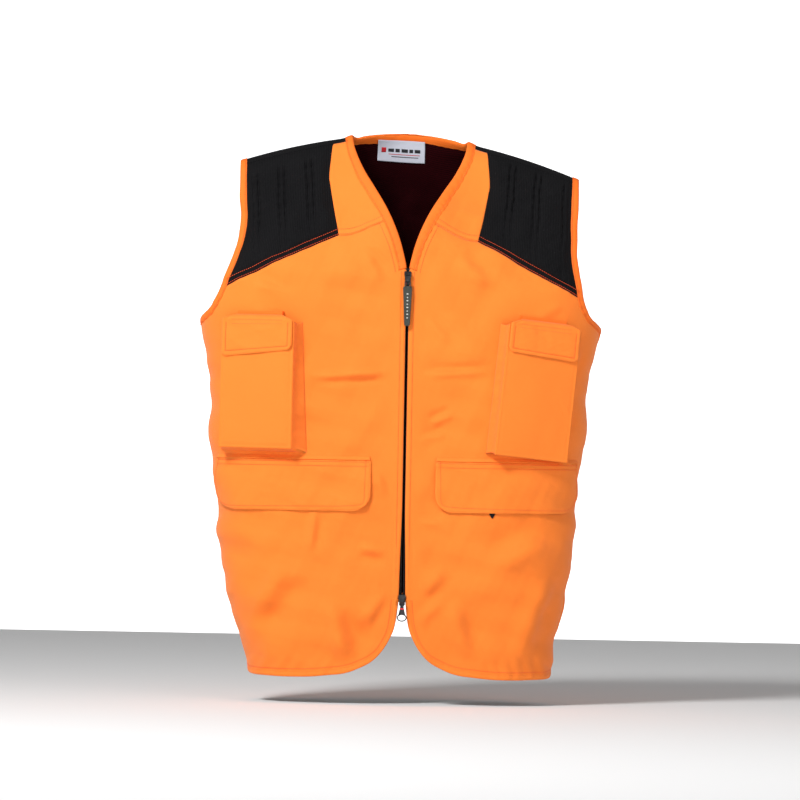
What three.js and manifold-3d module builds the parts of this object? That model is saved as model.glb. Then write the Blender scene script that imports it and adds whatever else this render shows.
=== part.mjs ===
// A sleeveless field vest, held open as a wearer or a broad hanger holds it. Millimetres, +Z up.
// The front faces -Y, the wearer's left is +X, and the origin lies between the shoulders at the height of
// the neck points. The cloth is one closed surface round the body: a chart (s, w) unrolls it, with s the
// distance round the body from the centre line and w the distance down from the shoulder line, negative on
// the front and positive on the back. Every soft piece is a stretch of that chart with its own thickness.
import * as THREE from "three";
import { mergeVertices } from "three/addons/utils/BufferGeometryUtils.js";
import Module from "manifold-3d";

const wasm = await Module();
wasm.setup();

// ---------------------------------------------------------------- driving dimensions
const HALF_CHEST = 266; // half width at the underarm
const HALF_WAIST = 249; // half width at the waist level
const HALF_HIP = 232; // half width at the hip level
const HALF_HEM = 200; // half width at the hem
const UNDERARM_Z = -236;
const WAIST_Z = -393;
const HIP_Z = -560;
const HEM_Z = -710;
const BACK_HEM_RISE = 100; // how far the back hem arches up at the centre back
const FRONT_DEPTH = 80; // centre front, forward of the shoulder line
const BACK_DEPTH = 80; // centre back, behind the shoulder line
const SECTION_POWER = 5; // how square the horizontal section is: 2 is an ellipse

const NECK_POINT_X = 86; // where the shoulder line meets the neck
const NECK_POINT_Z = 7;
const NECK_CENTRE_RISE = 45; // the shoulder line, carried on to the centre, stands this much higher
const SHOULDER_SLOPE = 0.3;
const ARM_RUN = 40; // from the shoulder tip out to the side seam
const SHOULDER_TIP_X = HALF_CHEST - ARM_RUN;
const FRONT_ROUND = 26; // radius over the shoulder, front and back
const BACK_ROUND = 45;
const FRONT_RUN = 190; // drop over which the chest and the back reach their full depth
const BACK_RUN = 150;

const SIDE_BIAS = 0.035; // the vest hangs a little to the wearer's right
const SHOULDER_TILT = 0.04; // and its left shoulder hangs a little lower

const CLOTH = 1.2; // outer cloth, seams included
const LINING = 0.9;
const LINING_GAP = 2.8; // between the outer cloth and the lining
const GAP = 0.7; // between pieces that are sewn edge to edge
const PAD = 5; // padded shoulder cloth
const BINDING = 9.5; // width of the bound edges
const BINDING_OUT = 2.2; // how far a binding stands out of and behind the outer cloth's inner face
const BINDING_IN = 4;
const HEM_BAND = 8;

const ZIP_TOP_Z = -164;
const ZIP_BOTTOM_Z = -604;
const ZIP_EDGE = 2.9; // half the gap between the two front edges
const BACK_SEAM_Z = -165; // lower edge of the back yoke

const POUCH_X = 188; // chest pocket: its middle, from the centre line
const POUCH_TOP_Z = -230; // the seam that its flap hangs from
const POUCH_WIDTH = 101;
const POUCH_MOUTH = 9; // the open top of the pouch lies this far below the flap's seam
const POUCH_LENGTH = { right: 178, left: 184 }; // from the flap's seam to the bottom of the face
const POUCH_DEPTH = 9; // how far the face stands out in front of the seam
const POUCH_SPREAD_TOP = 8; // the inner gusset's foot lies this far outside the face, at the top
const POUCH_SPREAD = { right: 18, left: 9 }; // and at the bottom
const POUCH_DROP = { right: 2, left: -10 }; // the bottom gusset's foot lies this far below the face
const POUCH_TURN = 4.668; // degrees, how much more the face turns to the side than the cloth at the seam
const POUCH_TILT = { right: 0.5, left: -5.5 }; // degrees, each pocket's lean in its own plane
const POUCH_WALL = 1.2;
const CHEST_FLAP_WIDTH = 98;
const CHEST_FLAP_SEAM = 62; // the flap is narrower where it is sewn on
const CHEST_FLAP_FOLD = 7; // drop from the seam to the flap's front
const CHEST_FLAP_INNER = { right: 46, left: 45 }; // length at its inner and its outer edge
const CHEST_FLAP_OUTER = { right: 57, left: 50 };
const CHEST_FLAP_CUT = 6; // the cut at its lower corners
const FLAP_CLOTH = 1.5; // a flap is two layers thick
const FLAP_ROOM = 2.4; // between a flap and what it covers, where the fastening patches are
const PATCH = 0.7; // hook and loop patches

const FLAP_IN = 43; // lower flap: its inner and outer edge, from the centre line
const FLAP_OUT = 240;
const FLAP_TOP_Z = -420;
const FLAP_LENGTH = 68;
const FLAP_CORNER = 24;
const BAG_IN = 62; // inside pocket behind the lower flap
const BAG_OUT = 205;
const BAG_BOTTOM_Z = -600;
const BAG_ROOM = 8; // free thickness inside
const BAG_WALL = 0.9;
const MOUTH_HEIGHT = 9;
const TAB_STRIP = 8; // width of the black tab under the left flap
const TAB_STRIP_X = 122;
const TAB_STRIP_PEEK = 7; // how far its tip shows below the flap

const TAPE = 12; // zip tape, each side
const TAPE_THICK = 0.8;
const COIL = 1.6; // width of each row of the zip's coil
const COIL_THICK = 2.4;
const WEB = 1; // the slider's web runs between the two rows
const RUN_GAP = 0.4; // free play of the slider and of the pulls
const SLIDER_LENGTH = 15;
const SLIDER_WIDTH = 9.4;
const PLATE = 1.6; // slider plates
const STOP = 3; // length of the zip's end stops
const LUG = 1.3; // the slider's two lugs, which carry a pull on a pin
const PIN_RADIUS = 0.9;
const LINK_WIDTH = 4.4;
const LINK_WALL = 1.1;
const LINK_LENGTH = 12;
const RIVET_RADIUS = 1.6;
const TAB_LENGTH = 53;
const TAB_TOP = 12.5;
const TAB_BOTTOM = 7.5;
const TAB_THICK = 2.4;
const RING_WIDTH = 13.4;
const RING_HEIGHT = 10.5;
const RING_WIRE = 1.7;
const RING_NECK = 11; // length of the plate that the ring hangs by

const LABEL_WIDTH = 66;
const LABEL_HEIGHT = 29;
const LABEL_X = -12; // the label sits a little off centre
const LABEL_THICK = 0.7;

const ORANGE = new THREE.MeshStandardMaterial({ color: 0xf5821f, roughness: 0.75 });
const BLACK_CLOTH = new THREE.MeshStandardMaterial({ color: 0x1d1c1e, roughness: 0.85 });
const MESH_LINING = new THREE.MeshStandardMaterial({ color: 0x2a0a0e, roughness: 0.9 });
const BLACK_PLASTIC = new THREE.MeshStandardMaterial({ color: 0x1a1a1c, roughness: 0.45 });
const BLACK_METAL = new THREE.MeshStandardMaterial({ color: 0x202024, roughness: 0.35, metalness: 0.8 });
const RED = new THREE.MeshStandardMaterial({ color: 0xd8262b, roughness: 0.4 });
const GREY_RUBBER = new THREE.MeshStandardMaterial({ color: 0x33352f, roughness: 0.7 });
const WHITE_CLOTH = new THREE.MeshStandardMaterial({ color: 0xdfe0e8, roughness: 0.6 });

const SIDES = { left: 1, right: -1 }; // the wearer's sides

// ---------------------------------------------------------------- the shape of the body
const clamp = (v, low, high) => Math.min(high, Math.max(low, v));
const ease = (v) => {
  const t = clamp(v, 0, 1);
  return t * t * (3 - 2 * t);
};

// A smooth curve through [place, value] pairs, places falling.
function through(pairs) {
  const slope = (i) => {
    const a = pairs[Math.max(0, i - 1)];
    const b = pairs[Math.min(pairs.length - 1, i + 1)];
    return (b[1] - a[1]) / (b[0] - a[0]);
  };
  return (place) => {
    const at = clamp(place, pairs.at(-1)[0], pairs[0][0]);
    let i = 0;
    while (i < pairs.length - 2 && at < pairs[i + 1][0]) i++;
    const [p0, v0] = pairs[i];
    const [p1, v1] = pairs[i + 1];
    const run = p1 - p0;
    const t = (at - p0) / run;
    const a = 2 * t ** 3 - 3 * t * t + 1;
    const b = t ** 3 - 2 * t * t + t;
    const c = t ** 3 - t * t;
    return a * v0 + b * run * slope(i) + (1 - a) * v1 + c * run * slope(i + 1);
  };
}

const halfWidth = through([
  [0, HALF_CHEST],
  [UNDERARM_Z, HALF_CHEST],
  [(UNDERARM_Z + WAIST_Z) / 2, (HALF_CHEST + 3 * HALF_WAIST) / 4],
  [WAIST_Z, HALF_WAIST],
  [HIP_Z, HALF_HIP],
  [HEM_Z, HALF_HEM],
]);

// Height of the shoulder line. Past the neck point it is carried on, rising, to the centre.
function shoulderLine(x) {
  const past = Math.abs(x) - NECK_POINT_X;
  if (past >= 0) return NECK_POINT_Z - SHOULDER_SLOPE * past;
  const t = 1 + past / NECK_POINT_X;
  const top = NECK_POINT_Z + NECK_CENTRE_RISE;
  const a = 2 * t ** 3 - 3 * t * t + 1;
  const c = t ** 3 - t * t;
  return a * top + (1 - a) * NECK_POINT_Z - c * NECK_POINT_X * SHOULDER_SLOPE;
}

// The horizontal section, half width 1: u across, lift forward, s along it.
const SECTION_RATIO = FRONT_DEPTH / HALF_WAIST;
const section = [];
for (let i = 0; i <= 240; i++) {
  const angle = (i / 240) * (Math.PI / 2);
  const u = Math.sin(angle) ** (2 / SECTION_POWER);
  const lift = Math.cos(angle);
  const last = section.at(-1);
  const step = last ? Math.hypot(u - last.u, SECTION_RATIO * (lift - last.lift)) : 0;
  section.push({ u, lift, s: last ? last.s + step * HALF_WAIST : 0 });
}
const SIDE_SEAM_S = section.at(-1).s;

function sectionAt(s) {
  const at = clamp(s, 0, SIDE_SEAM_S);
  let i = section.findIndex((p) => p.s >= at);
  i = Math.max(1, i);
  const a = section[i - 1];
  const b = section[i];
  const t = (at - a.s) / (b.s - a.s);
  return { u: a.u + t * (b.u - a.u), lift: a.lift + t * (b.lift - a.lift) };
}

function sectionLength(u) {
  const at = clamp(u, 0, 1);
  const i = Math.max(1, section.findIndex((p) => p.u >= at - 1e-12));
  const a = section[i - 1];
  const b = section[i];
  return a.s + ((at - a.u) / (b.u - a.u)) * (b.s - a.s);
}

// Down from the shoulder line: how far the cloth has dropped, and how deep it lies there.
function profile(w) {
  const [round, depth, run] = w < 0 ? [FRONT_ROUND, FRONT_DEPTH, FRONT_RUN] : [BACK_ROUND, BACK_DEPTH, BACK_RUN];
  const along = Math.abs(w);
  const quarter = (round * Math.PI) / 2;
  const turned = Math.min(along, quarter) / round;
  const drop = round * (1 - Math.cos(turned)) + Math.max(0, along - quarter);
  const y = round * Math.sin(turned) + (depth - round) * ease(drop / run);
  return { drop, y: Math.sign(w) * y };
}

function alongFromDrop(drop, front) {
  const round = front ? FRONT_ROUND : BACK_ROUND;
  const down = Math.max(0, drop);
  const along = down < round ? round * Math.acos(1 - down / round) : (round * Math.PI) / 2 + down - round;
  return front ? -along : along;
}

// How the vest hangs: a little to one side, with one shoulder lower.
function hang(p) {
  const bias = SIDE_BIAS * ease((-100 - p.z) / 130) * (1 - 0.7 * ease((-620 - p.z) / 90));
  const tilt = SHOULDER_TILT * (1 - ease((-60 - p.z) / 240));
  return new THREE.Vector3(p.x - bias * Math.abs(p.x), p.y, p.z - tilt * p.x);
}

function place(s, w) {
  const { drop, y } = profile(w);
  const { u, lift } = sectionAt(Math.abs(s));
  let z = -drop;
  let x = 0;
  for (let i = 0; i < 8; i++) {
    x = halfWidth(z) * u;
    z = shoulderLine(x) - drop;
  }
  return hang(new THREE.Vector3(Math.sign(s) * x, y * lift, z));
}

// The outward normal of the cloth.
function outward(s, w) {
  const ds = 0.5;
  const dw = 0.5;
  const low = Math.max(-SIDE_SEAM_S, s - ds);
  const high = Math.min(SIDE_SEAM_S, s + ds);
  const across = place(high, w).sub(place(low, w));
  const down = place(s, w + dw).sub(place(s, w - dw));
  return across.cross(down).normalize();
}

// The chart's (s, w) of a point seen from the front or the back.
function spot(x, z, front = true) {
  const u = Math.abs(x) / halfWidth(z);
  const s = Math.sign(x) * sectionLength(u);
  return new THREE.Vector2(s, alongFromDrop(shoulderLine(x) - z, front));
}

// ---------------------------------------------------------------- lines on the chart
const dense = (points, smooth = true) => {
  const line = points.map(([x, z]) => new THREE.Vector2(x, z));
  return smooth ? new THREE.SplineCurve(line).getPoints(points.length * 6) : line;
};

// A line on the cloth through [x, z] points seen from the front or the back.
const drawn = (points, front = true, smooth = true) =>
  dense(points, smooth).map((p) => spot(p.x, p.y, front));

// The same number of even steps along a line of chart points.
function even(line, steps) {
  if (line.length === steps + 1) return line;
  const along = [0];
  for (let i = 1; i < line.length; i++) along.push(along[i - 1] + line[i].distanceTo(line[i - 1]));
  const made = [];
  for (let k = 0; k <= steps; k++) {
    const at = (along.at(-1) * k) / steps;
    let i = 1;
    while (i < line.length - 1 && along[i] < at) i++;
    const t = (at - along[i - 1]) / Math.max(1e-9, along[i] - along[i - 1]);
    made.push(line[i - 1].clone().lerp(line[i], clamp(t, 0, 1)));
  }
  return made;
}

// Several lines in a row, each with its own number of even steps, so that the corners between them stay.
const joined = (...stretches) =>
  stretches.flatMap(([line, steps], i) => even(line, steps).slice(i === 0 ? 0 : 1));

// A line moved sideways by a distance, to the left of its direction.
function moved(line, distance) {
  return line.map((p, i) => {
    const a = line[Math.max(0, i - 1)];
    const b = line[Math.min(line.length - 1, i + 1)];
    const run = b.clone().sub(a).normalize();
    return new THREE.Vector2(p.x - run.y * distance, p.y + run.x * distance);
  });
}

const mirrored = (line) => line.map((p) => new THREE.Vector2(-p.x, p.y));

// A grid of chart points between four lines. Bottom and top run the same way, and so do left and right.
function between(bottom, top, left, right, across, up) {
  const [b, t] = [even(bottom, across), even(top, across)];
  const [l, r] = [even(left, up), even(right, up)];
  const grid = [];
  for (let j = 0; j <= up; j++) {
    const v = j / up;
    grid.push(
      b.map((_, i) => {
        const u = i / across;
        const sides = l[j].clone().lerp(r[j], u);
        const ends = b[i].clone().lerp(t[i], v);
        const corners = b[0].clone().lerp(b[across], u).lerp(t[0].clone().lerp(t[across], u), v);
        return sides.add(ends).sub(corners);
      }),
    );
  }
  return grid;
}

// ---------------------------------------------------------------- solids
function geometryOf(points, faces) {
  const geometry = new THREE.BufferGeometry();
  const flat = points.flatMap((p) => [p.x, p.y, p.z]);
  geometry.setAttribute("position", new THREE.BufferAttribute(new Float32Array(flat), 3));
  geometry.setIndex(faces.flat());
  return geometry;
}

function signedVolume(points, faces) {
  const cross = new THREE.Vector3();
  return faces.reduce((sum, [a, b, c]) => sum + points[a].dot(cross.crossVectors(points[b], points[c])), 0);
}

// A closed solid between two grids of points with the same rows, outer over inner.
function slab(outer, inner) {
  const rows = outer.length;
  const columns = outer[0].length;
  const count = rows * columns;
  const points = [...outer.flat(), ...inner.flat()];
  const at = (j, i) => j * columns + i;
  const faces = [];
  const quad = (a, b, c, d) => faces.push([a, b, c], [a, c, d]);
  for (let j = 0; j < rows - 1; j++) {
    for (let i = 0; i < columns - 1; i++) {
      quad(at(j, i), at(j, i + 1), at(j + 1, i + 1), at(j + 1, i));
      quad(count + at(j, i), count + at(j + 1, i), count + at(j + 1, i + 1), count + at(j, i + 1));
    }
  }
  const wall = (a, b) => quad(a, count + a, count + b, b);
  for (let i = 0; i < columns - 1; i++) {
    wall(at(0, i), at(0, i + 1));
    wall(at(rows - 1, i + 1), at(rows - 1, i));
  }
  for (let j = 0; j < rows - 1; j++) {
    wall(at(j + 1, 0), at(j, 0));
    wall(at(j, columns - 1), at(j + 1, columns - 1));
  }
  if (signedVolume(points, faces) < 0) faces.forEach((f) => f.reverse());
  return geometryOf(points, faces);
}

// A piece of cloth over a grid of chart points, from one offset to another along the normal.
function cloth(grid, from, to) {
  const off = (amount, p) => (typeof amount === "function" ? amount(p) : amount);
  const layer = (amount) =>
    grid.map((row) => row.map((p) => place(p.x, p.y).addScaledVector(outward(p.x, p.y), off(amount, p))));
  return slab(layer(to), layer(from));
}

// A band along a line of chart points, between two distances to its left and two offsets along the normal.
function bandCorners(line, near, far, from, to, end = SIDE_SEAM_S) {
  const within = (p) => new THREE.Vector2(clamp(p.x, -end, end), p.y);
  const farLine = moved(line, far);
  return moved(line, near).map((first, i) => {
    const [p, e] = [within(first), within(farLine[i])];
    const [a, b] = [place(p.x, p.y), place(e.x, e.y)];
    const [na, nb] = [outward(p.x, p.y), outward(e.x, e.y)];
    return [
      a.clone().addScaledVector(na, to),
      b.clone().addScaledVector(nb, to),
      b.clone().addScaledVector(nb, from),
      a.clone().addScaledVector(na, from),
    ];
  });
}

function sweptCorners(corners, ring) {
  const points = corners.flat();
  const faces = [];
  const count = ring ? corners.length : corners.length - 1;
  for (let j = 0; j < count; j++) {
    const next = (j + 1) % corners.length;
    for (let k = 0; k < 4; k++) {
      const n = (k + 1) % 4;
      faces.push([j * 4 + k, j * 4 + n, next * 4 + n], [j * 4 + k, next * 4 + n, next * 4 + k]);
    }
  }
  if (!ring) {
    const last = (corners.length - 1) * 4;
    faces.push([0, 2, 1], [0, 3, 2], [last, last + 1, last + 2], [last, last + 2, last + 3]);
  }
  if (signedVolume(points, faces) < 0) faces.forEach((f) => f.reverse());
  return geometryOf(points, faces);
}

const band = (line, near, far, from, to, end) =>
  sweptCorners(bandCorners(line, near, far, from, to, end), false);

// A line carried on straight past both its ends.
function carriedOn(line, distance) {
  const past = (end, before) => end.clone().add(end.clone().sub(before).setLength(distance));
  return [past(line[0], line[1]), ...line, past(line.at(-1), line.at(-2))];
}

function solid(geometry) {
  const bare = geometry.clone();
  bare.deleteAttribute("normal");
  bare.deleteAttribute("uv");
  const merged = mergeVertices(bare, 1e-4);
  return new wasm.Manifold(
    new wasm.Mesh({
      numProp: 3,
      vertProperties: merged.attributes.position.array,
      triVerts: new Uint32Array(merged.index.array),
    }),
  );
}

function fromSolid(made) {
  const mesh = made.getMesh();
  const geometry = new THREE.BufferGeometry();
  const points = new Float32Array(mesh.numVert * 3);
  for (let i = 0; i < mesh.numVert; i++) {
    points.set(mesh.vertProperties.subarray(i * mesh.numProp, i * mesh.numProp + 3), i * 3);
  }
  geometry.setAttribute("position", new THREE.BufferAttribute(points, 3));
  geometry.setIndex(new THREE.BufferAttribute(mesh.triVerts, 1));
  return geometry;
}

const box = (low, high) =>
  new THREE.BoxGeometry(high[0] - low[0], high[1] - low[1], high[2] - low[2]).translate(
    (low[0] + high[0]) / 2,
    (low[1] + high[1]) / 2,
    (low[2] + high[2]) / 2,
  );

// A solid between two loops of four corners each.
function frustum(near, far) {
  const points = [...near, ...far];
  const faces = [[0, 1, 2], [0, 2, 3], [4, 6, 5], [4, 7, 6]];
  for (let k = 0; k < 4; k++) {
    const n = (k + 1) % 4;
    faces.push([k, k + 4, n + 4], [k, n + 4, n]);
  }
  if (signedVolume(points, faces) < 0) faces.forEach((f) => f.reverse());
  return geometryOf(points, faces);
}

// An outline of [x, z] points as a plate, from one depth to another.
function plate(outline, yFront, yBack, holes = []) {
  const shape = new THREE.Shape(outline.map(([x, z]) => new THREE.Vector2(x, z)));
  shape.holes = holes.map((hole) => new THREE.Path(hole.map(([x, z]) => new THREE.Vector2(x, z))));
  const depth = yBack - yFront;
  const made = new THREE.ExtrudeGeometry(shape, { depth, bevelEnabled: false });
  return made.rotateX(Math.PI / 2).translate(0, yBack, 0);
}

const oval = (cx, cz, rx, rz, count) =>
  Array.from({ length: count }, (_, i) => {
    const a = (i / count) * 2 * Math.PI;
    return [cx + rx * Math.cos(a), cz + rz * Math.sin(a)];
  });

const vest = new THREE.Group();
function add(name, geometry, material) {
  const mesh = new THREE.Mesh(geometry, material);
  mesh.name = name;
  vest.add(mesh);
  return mesh;
}

// ---------------------------------------------------------------- the garment's edges, wearer's left half
// Front neck, from the top of the zip to the shoulder line.
const NECK_FRONT = [
  [ZIP_EDGE, ZIP_TOP_Z],
  [5, ZIP_TOP_Z + 12],
  [12.7, ZIP_TOP_Z + 40],
  [27, ZIP_TOP_Z + 74],
  [47, ZIP_TOP_Z + 107],
  [60, ZIP_TOP_Z + 127],
  [70, ZIP_TOP_Z + 147],
  [75.5, ZIP_TOP_Z + 163],
];
const NECK_SHOULDER_X = 77; // where the neck edge crosses the shoulder line
const BACK_NECK_Z = 19; // centre back
const neckBack = [72, 60, 45, 30, 15, 0].map((x) => spot(x, BACK_NECK_Z - 0.002 * x * x, false));
const neckCrossing = new THREE.Vector2(spot(NECK_SHOULDER_X, shoulderLine(NECK_SHOULDER_X)).x, 0);
const neckPoints = [...NECK_FRONT.map(([x, z]) => spot(x, z)), neckCrossing, ...neckBack];
const halfNeck = new THREE.SplineCurve(neckPoints).getPoints(90);
const neckLine = [...halfNeck.slice(0, -1), ...mirrored(halfNeck).reverse()];

// Armhole, seen from the front; the back one has the same outline.
const ARMHOLE = [
  [SHOULDER_TIP_X, -52],
  [SHOULDER_TIP_X, -75],
  [SHOULDER_TIP_X - 1, -102],
  [SHOULDER_TIP_X + 1, -135],
  [SHOULDER_TIP_X + 0.175 * ARM_RUN, -167],
  [SHOULDER_TIP_X + 0.35 * ARM_RUN, -193],
  [SHOULDER_TIP_X + 0.55 * ARM_RUN, -212],
  [SHOULDER_TIP_X + 0.75 * ARM_RUN, -225],
];
const tipSpot = new THREE.Vector2(spot(SHOULDER_TIP_X, shoulderLine(SHOULDER_TIP_X)).x, 0);
const armFront = ARMHOLE.map(([x, z]) => spot(x, z));
const armBack = ARMHOLE.map(([x, z]) => spot(x, z, false));
const underarmFront = new THREE.Vector2(SIDE_SEAM_S, spot(HALF_CHEST, UNDERARM_Z).y);
const underarmBack = new THREE.Vector2(SIDE_SEAM_S, spot(HALF_CHEST, UNDERARM_Z, false).y);
const armFrontLine = new THREE.SplineCurve([tipSpot, ...armFront, underarmFront]).getPoints(60);
const armBackLine = new THREE.SplineCurve([tipSpot, ...armBack, underarmBack]).getPoints(60);

// Front hem from the zip round the corner to the side seam.
const HEM_CORNER_X = 120;
const hemRise = (share) => HEM_Z + share * (ZIP_BOTTOM_Z - HEM_Z); // the corner starts where the zip ends
const HEM_FRONT = [
  [ZIP_EDGE + 1.5, hemRise(1)],
  [7.5, hemRise(0.736)],
  [12.5, hemRise(0.557)],
  [24, hemRise(0.358)],
  [39, hemRise(0.208)],
  [60, hemRise(0.104)],
  [84, hemRise(0.042)],
  [HEM_CORNER_X, hemRise(0.008)],
  [150, HEM_Z],
  [180, HEM_Z + 0.5],
];
const hemSide = new THREE.Vector2(SIDE_SEAM_S, spot(HALF_HEM, HEM_Z + 5).y);
const hemFrontLine = new THREE.SplineCurve([...HEM_FRONT.map(([x, z]) => spot(x, z)), hemSide]).getPoints(80);
const backHemZ = (x) => HEM_Z + 2 + BACK_HEM_RISE * 0.5 * (1 + Math.cos(Math.PI * clamp(Math.abs(x) / 185, 0, 1)));
const backHemHalf = [0, 30, 60, 90, 120, 150, 180].map((x) => spot(x, backHemZ(x), false));
const hemSideBack = new THREE.Vector2(SIDE_SEAM_S, spot(HALF_HEM, HEM_Z + 5, false).y);
const backHemRight = new THREE.SplineCurve([...backHemHalf, hemSideBack]).getPoints(50);
const backHemLine = [...mirrored(backHemRight).reverse().slice(0, -1), ...backHemRight];

// Yoke seam, from the neck to the armhole, and the seam between the neck piece and the pad.
const YOKE_BEND = [93, -123];
const YOKE_ARM = [SHOULDER_TIP_X + 3, -193];
const YOKE_NECK = [29, -101];
const PAD_EDGE = [[102, 0], [107, -42], [105.5, -59], [100.5, -87], YOKE_BEND];
const SHOULDER_SEAM_DROP = 6; // the shoulder seam lies this far below the shoulder line, on the front
const shoulderSeamW = alongFromDrop(SHOULDER_SEAM_DROP, true);

// ---------------------------------------------------------------- bound edges
// Each runs along an edge of the cloth. The same band, grown, cuts the cloth back to make room for it.
const flipLine = (line, side) => (SIDES[side] > 0 ? line : mirrored(line));

// The armhole is a ring over the side seam, where the chart's front and back meet.
function armholeBand(side, near, far, from, to) {
  const sign = SIDES[side];
  const front = flipLine(even(armFrontLine, 20), side);
  const back = flipLine(even(armBackLine, 20), side);
  const frontRow = bandCorners(front, sign * near, sign * far, from, to);
  const backRow = bandCorners(back, -sign * near, -sign * far, from, to);
  return sweptCorners([...frontRow, ...backRow.slice(1, -1).reverse()], true);
}
const hemEnd = SIDE_SEAM_S - GAP / 2;
const neckRoute = even(neckLine, 60);
const backHemRoute = even(backHemLine, 30);
const frontHemRoute = (side) => flipLine(even(hemFrontLine, 20), side);

add("neck_binding", band(neckRoute, 0, -BINDING, -BINDING_IN, BINDING_OUT), ORANGE);
for (const side of ["left", "right"]) {
  add(`armhole_binding_${side}`, armholeBand(side, 0, -BINDING, -BINDING_IN, BINDING_OUT), ORANGE);
  const hem = band(frontHemRoute(side), 0, SIDES[side] * HEM_BAND, -BINDING_IN, BINDING_OUT, hemEnd);
  add(`hem_band_front_${side}`, hem, ORANGE);
}
add("hem_band_back", band(backHemRoute, 0, -HEM_BAND, -BINDING_IN, BINDING_OUT, hemEnd), ORANGE);

const SPILL = 6; // the cutters reach this far past the edge
const DEEP = 13; // and this far through the cloth
const edgeCutter = (line, near, far) => solid(band(carriedOn(line, GAP), near, far, -DEEP, DEEP / 2));
const neckCutter = (far) =>
  edgeCutter(neckRoute.slice(0, 34), SPILL, far).add(edgeCutter(neckRoute.slice(27), SPILL, far));
const cutters = {
  neck: neckCutter(-BINDING - GAP),
  neckLining: neckCutter(-BINDING - 6 * GAP), // the lining is caught a little further in
  back: edgeCutter(backHemRoute, SPILL, -HEM_BAND - GAP),
};
for (const side of ["left", "right"]) {
  cutters[`arm_${side}`] = solid(armholeBand(side, SPILL, -BINDING - GAP, -DEEP / 2, DEEP / 2));
  const sign = SIDES[side];
  cutters[`hem_${side}`] = edgeCutter(frontHemRoute(side), -sign * SPILL, sign * (HEM_BAND + GAP));
}
const trimmed = (geometry, ...names) =>
  names.reduce((made, name) => made.subtract(cutters[name]), solid(geometry));

// ---------------------------------------------------------------- outer cloth
// Each grid reaches to the middle of its bindings, and the cutters take it back to their edge.
const seamEnd = SIDE_SEAM_S - GAP;
const neckMid = moved(halfNeck, -BINDING / 2);
neckMid.at(-1).x = 0;
const armFrontMid = moved(armFrontLine, -BINDING / 2);
const armBackMid = moved(armBackLine, BINDING / 2);
const hemFrontMid = moved(hemFrontLine, HEM_BAND / 2);
const backHemMid = moved(backHemLine, -HEM_BAND / 2);
const flip = (grid) => grid.map((row) => row.map((p) => new THREE.Vector2(-p.x, p.y)));
const sided = (grid, side) => (SIDES[side] > 0 ? grid : flip(grid));
const toSeam = (line) => line.map((p) => new THREE.Vector2(clamp(p.x, -seamEnd, seamEnd), p.y));
const yokeLine = [YOKE_NECK, YOKE_BEND, YOKE_ARM].map(([x, z]) => spot(x, z));

// Where the yoke seam lies at s, carried on straight past its ends.
function seamAt(s) {
  const [a, b] = s < yokeLine[1].x ? [yokeLine[0], yokeLine[1]] : [yokeLine[1], yokeLine[2]];
  return a.y + ((s - a.x) / (b.x - a.x)) * (b.y - a.y);
}

// The part of a line above or below the yoke seam, cut where it meets it.
function cutAtSeam(line, above, gap) {
  const inside = (p) => (above ? p.y > seamAt(p.x) + gap : p.y < seamAt(p.x) - gap);
  const made = [];
  line.forEach((p, i) => {
    const last = line[i - 1];
    if (i && inside(p) !== inside(last)) {
      let [within, without] = inside(p) ? [p, last] : [last, p];
      for (let k = 0; k < 24; k++) {
        const middle = within.clone().lerp(without, 0.5);
        if (inside(middle)) within = middle;
        else without = middle;
      }
      made.push(within);
    }
    if (inside(p)) made.push(p);
  });
  return made;
}

const seamBetween = (from, to, gap) => {
  const bend = new THREE.Vector2(yokeLine[1].x, yokeLine[1].y + gap);
  return from.x < bend.x && to.x > bend.x ? [from, bend, to] : [from, to];
};

// Front panel: hem, side seam and armhole, yoke seam, then neck and zip.
const seamHalf = GAP / 2;
const hemTurn = Math.round(hemFrontMid.length * 0.5);
const zipLine = [spot(ZIP_EDGE + 0.2, hemRise(1) + 20), spot(ZIP_EDGE + 0.2, ZIP_TOP_Z - 3)];
const neckBelowSeam = cutAtSeam(neckMid, false, seamHalf).filter((p) => p.y > spot(0, ZIP_TOP_Z).y + 8);
const hemCorner = [...hemFrontMid.slice(0, hemTurn + 1).reverse(), zipLine[0]];
const neckStart = [zipLine[1], ...neckBelowSeam];
const frontInner = joined([hemCorner, 4], [zipLine, 2], [neckStart, 4]);
const armBelowSeam = cutAtSeam(toSeam([...armFrontMid].reverse()), false, seamHalf);
const frontBottom = toSeam(hemFrontMid.slice(hemTurn));
const sideSeam = [frontBottom.at(-1), armBelowSeam[0]];
const frontOuter = joined([sideSeam, 6], [armBelowSeam, 4]);
const frontTop = seamBetween(frontInner.at(-1), frontOuter.at(-1), -seamHalf);
const frontGrid = between(frontBottom, frontTop, frontInner, frontOuter, 17, 10);

// The front panel, much thicker inward and a little outward, to cut what meets it to the cloth.
const bodyBlock = (side, from = -24) => solid(cloth(sided(frontGrid, side), from, CLOTH + GAP));

// The mouth of the inside pocket, a slot through the cloth under the flap.
const mouthTopZ = FLAP_TOP_Z - 6;
function mouthCutter(side, grow = 0) {
  const [first, last] = [BAG_IN + 4 - grow, BAG_OUT - 4 + grow];
  const xs = [0, 0.35, 0.6, 0.8, 1].map((t) => first + t * (last - first));
  const rows = [mouthTopZ - MOUTH_HEIGHT - grow, mouthTopZ + grow].map((z) => xs.map((x) => spot(x, z)));
  return solid(cloth(sided(rows, side), -BAG_WALL - 2, 4));
}

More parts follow.
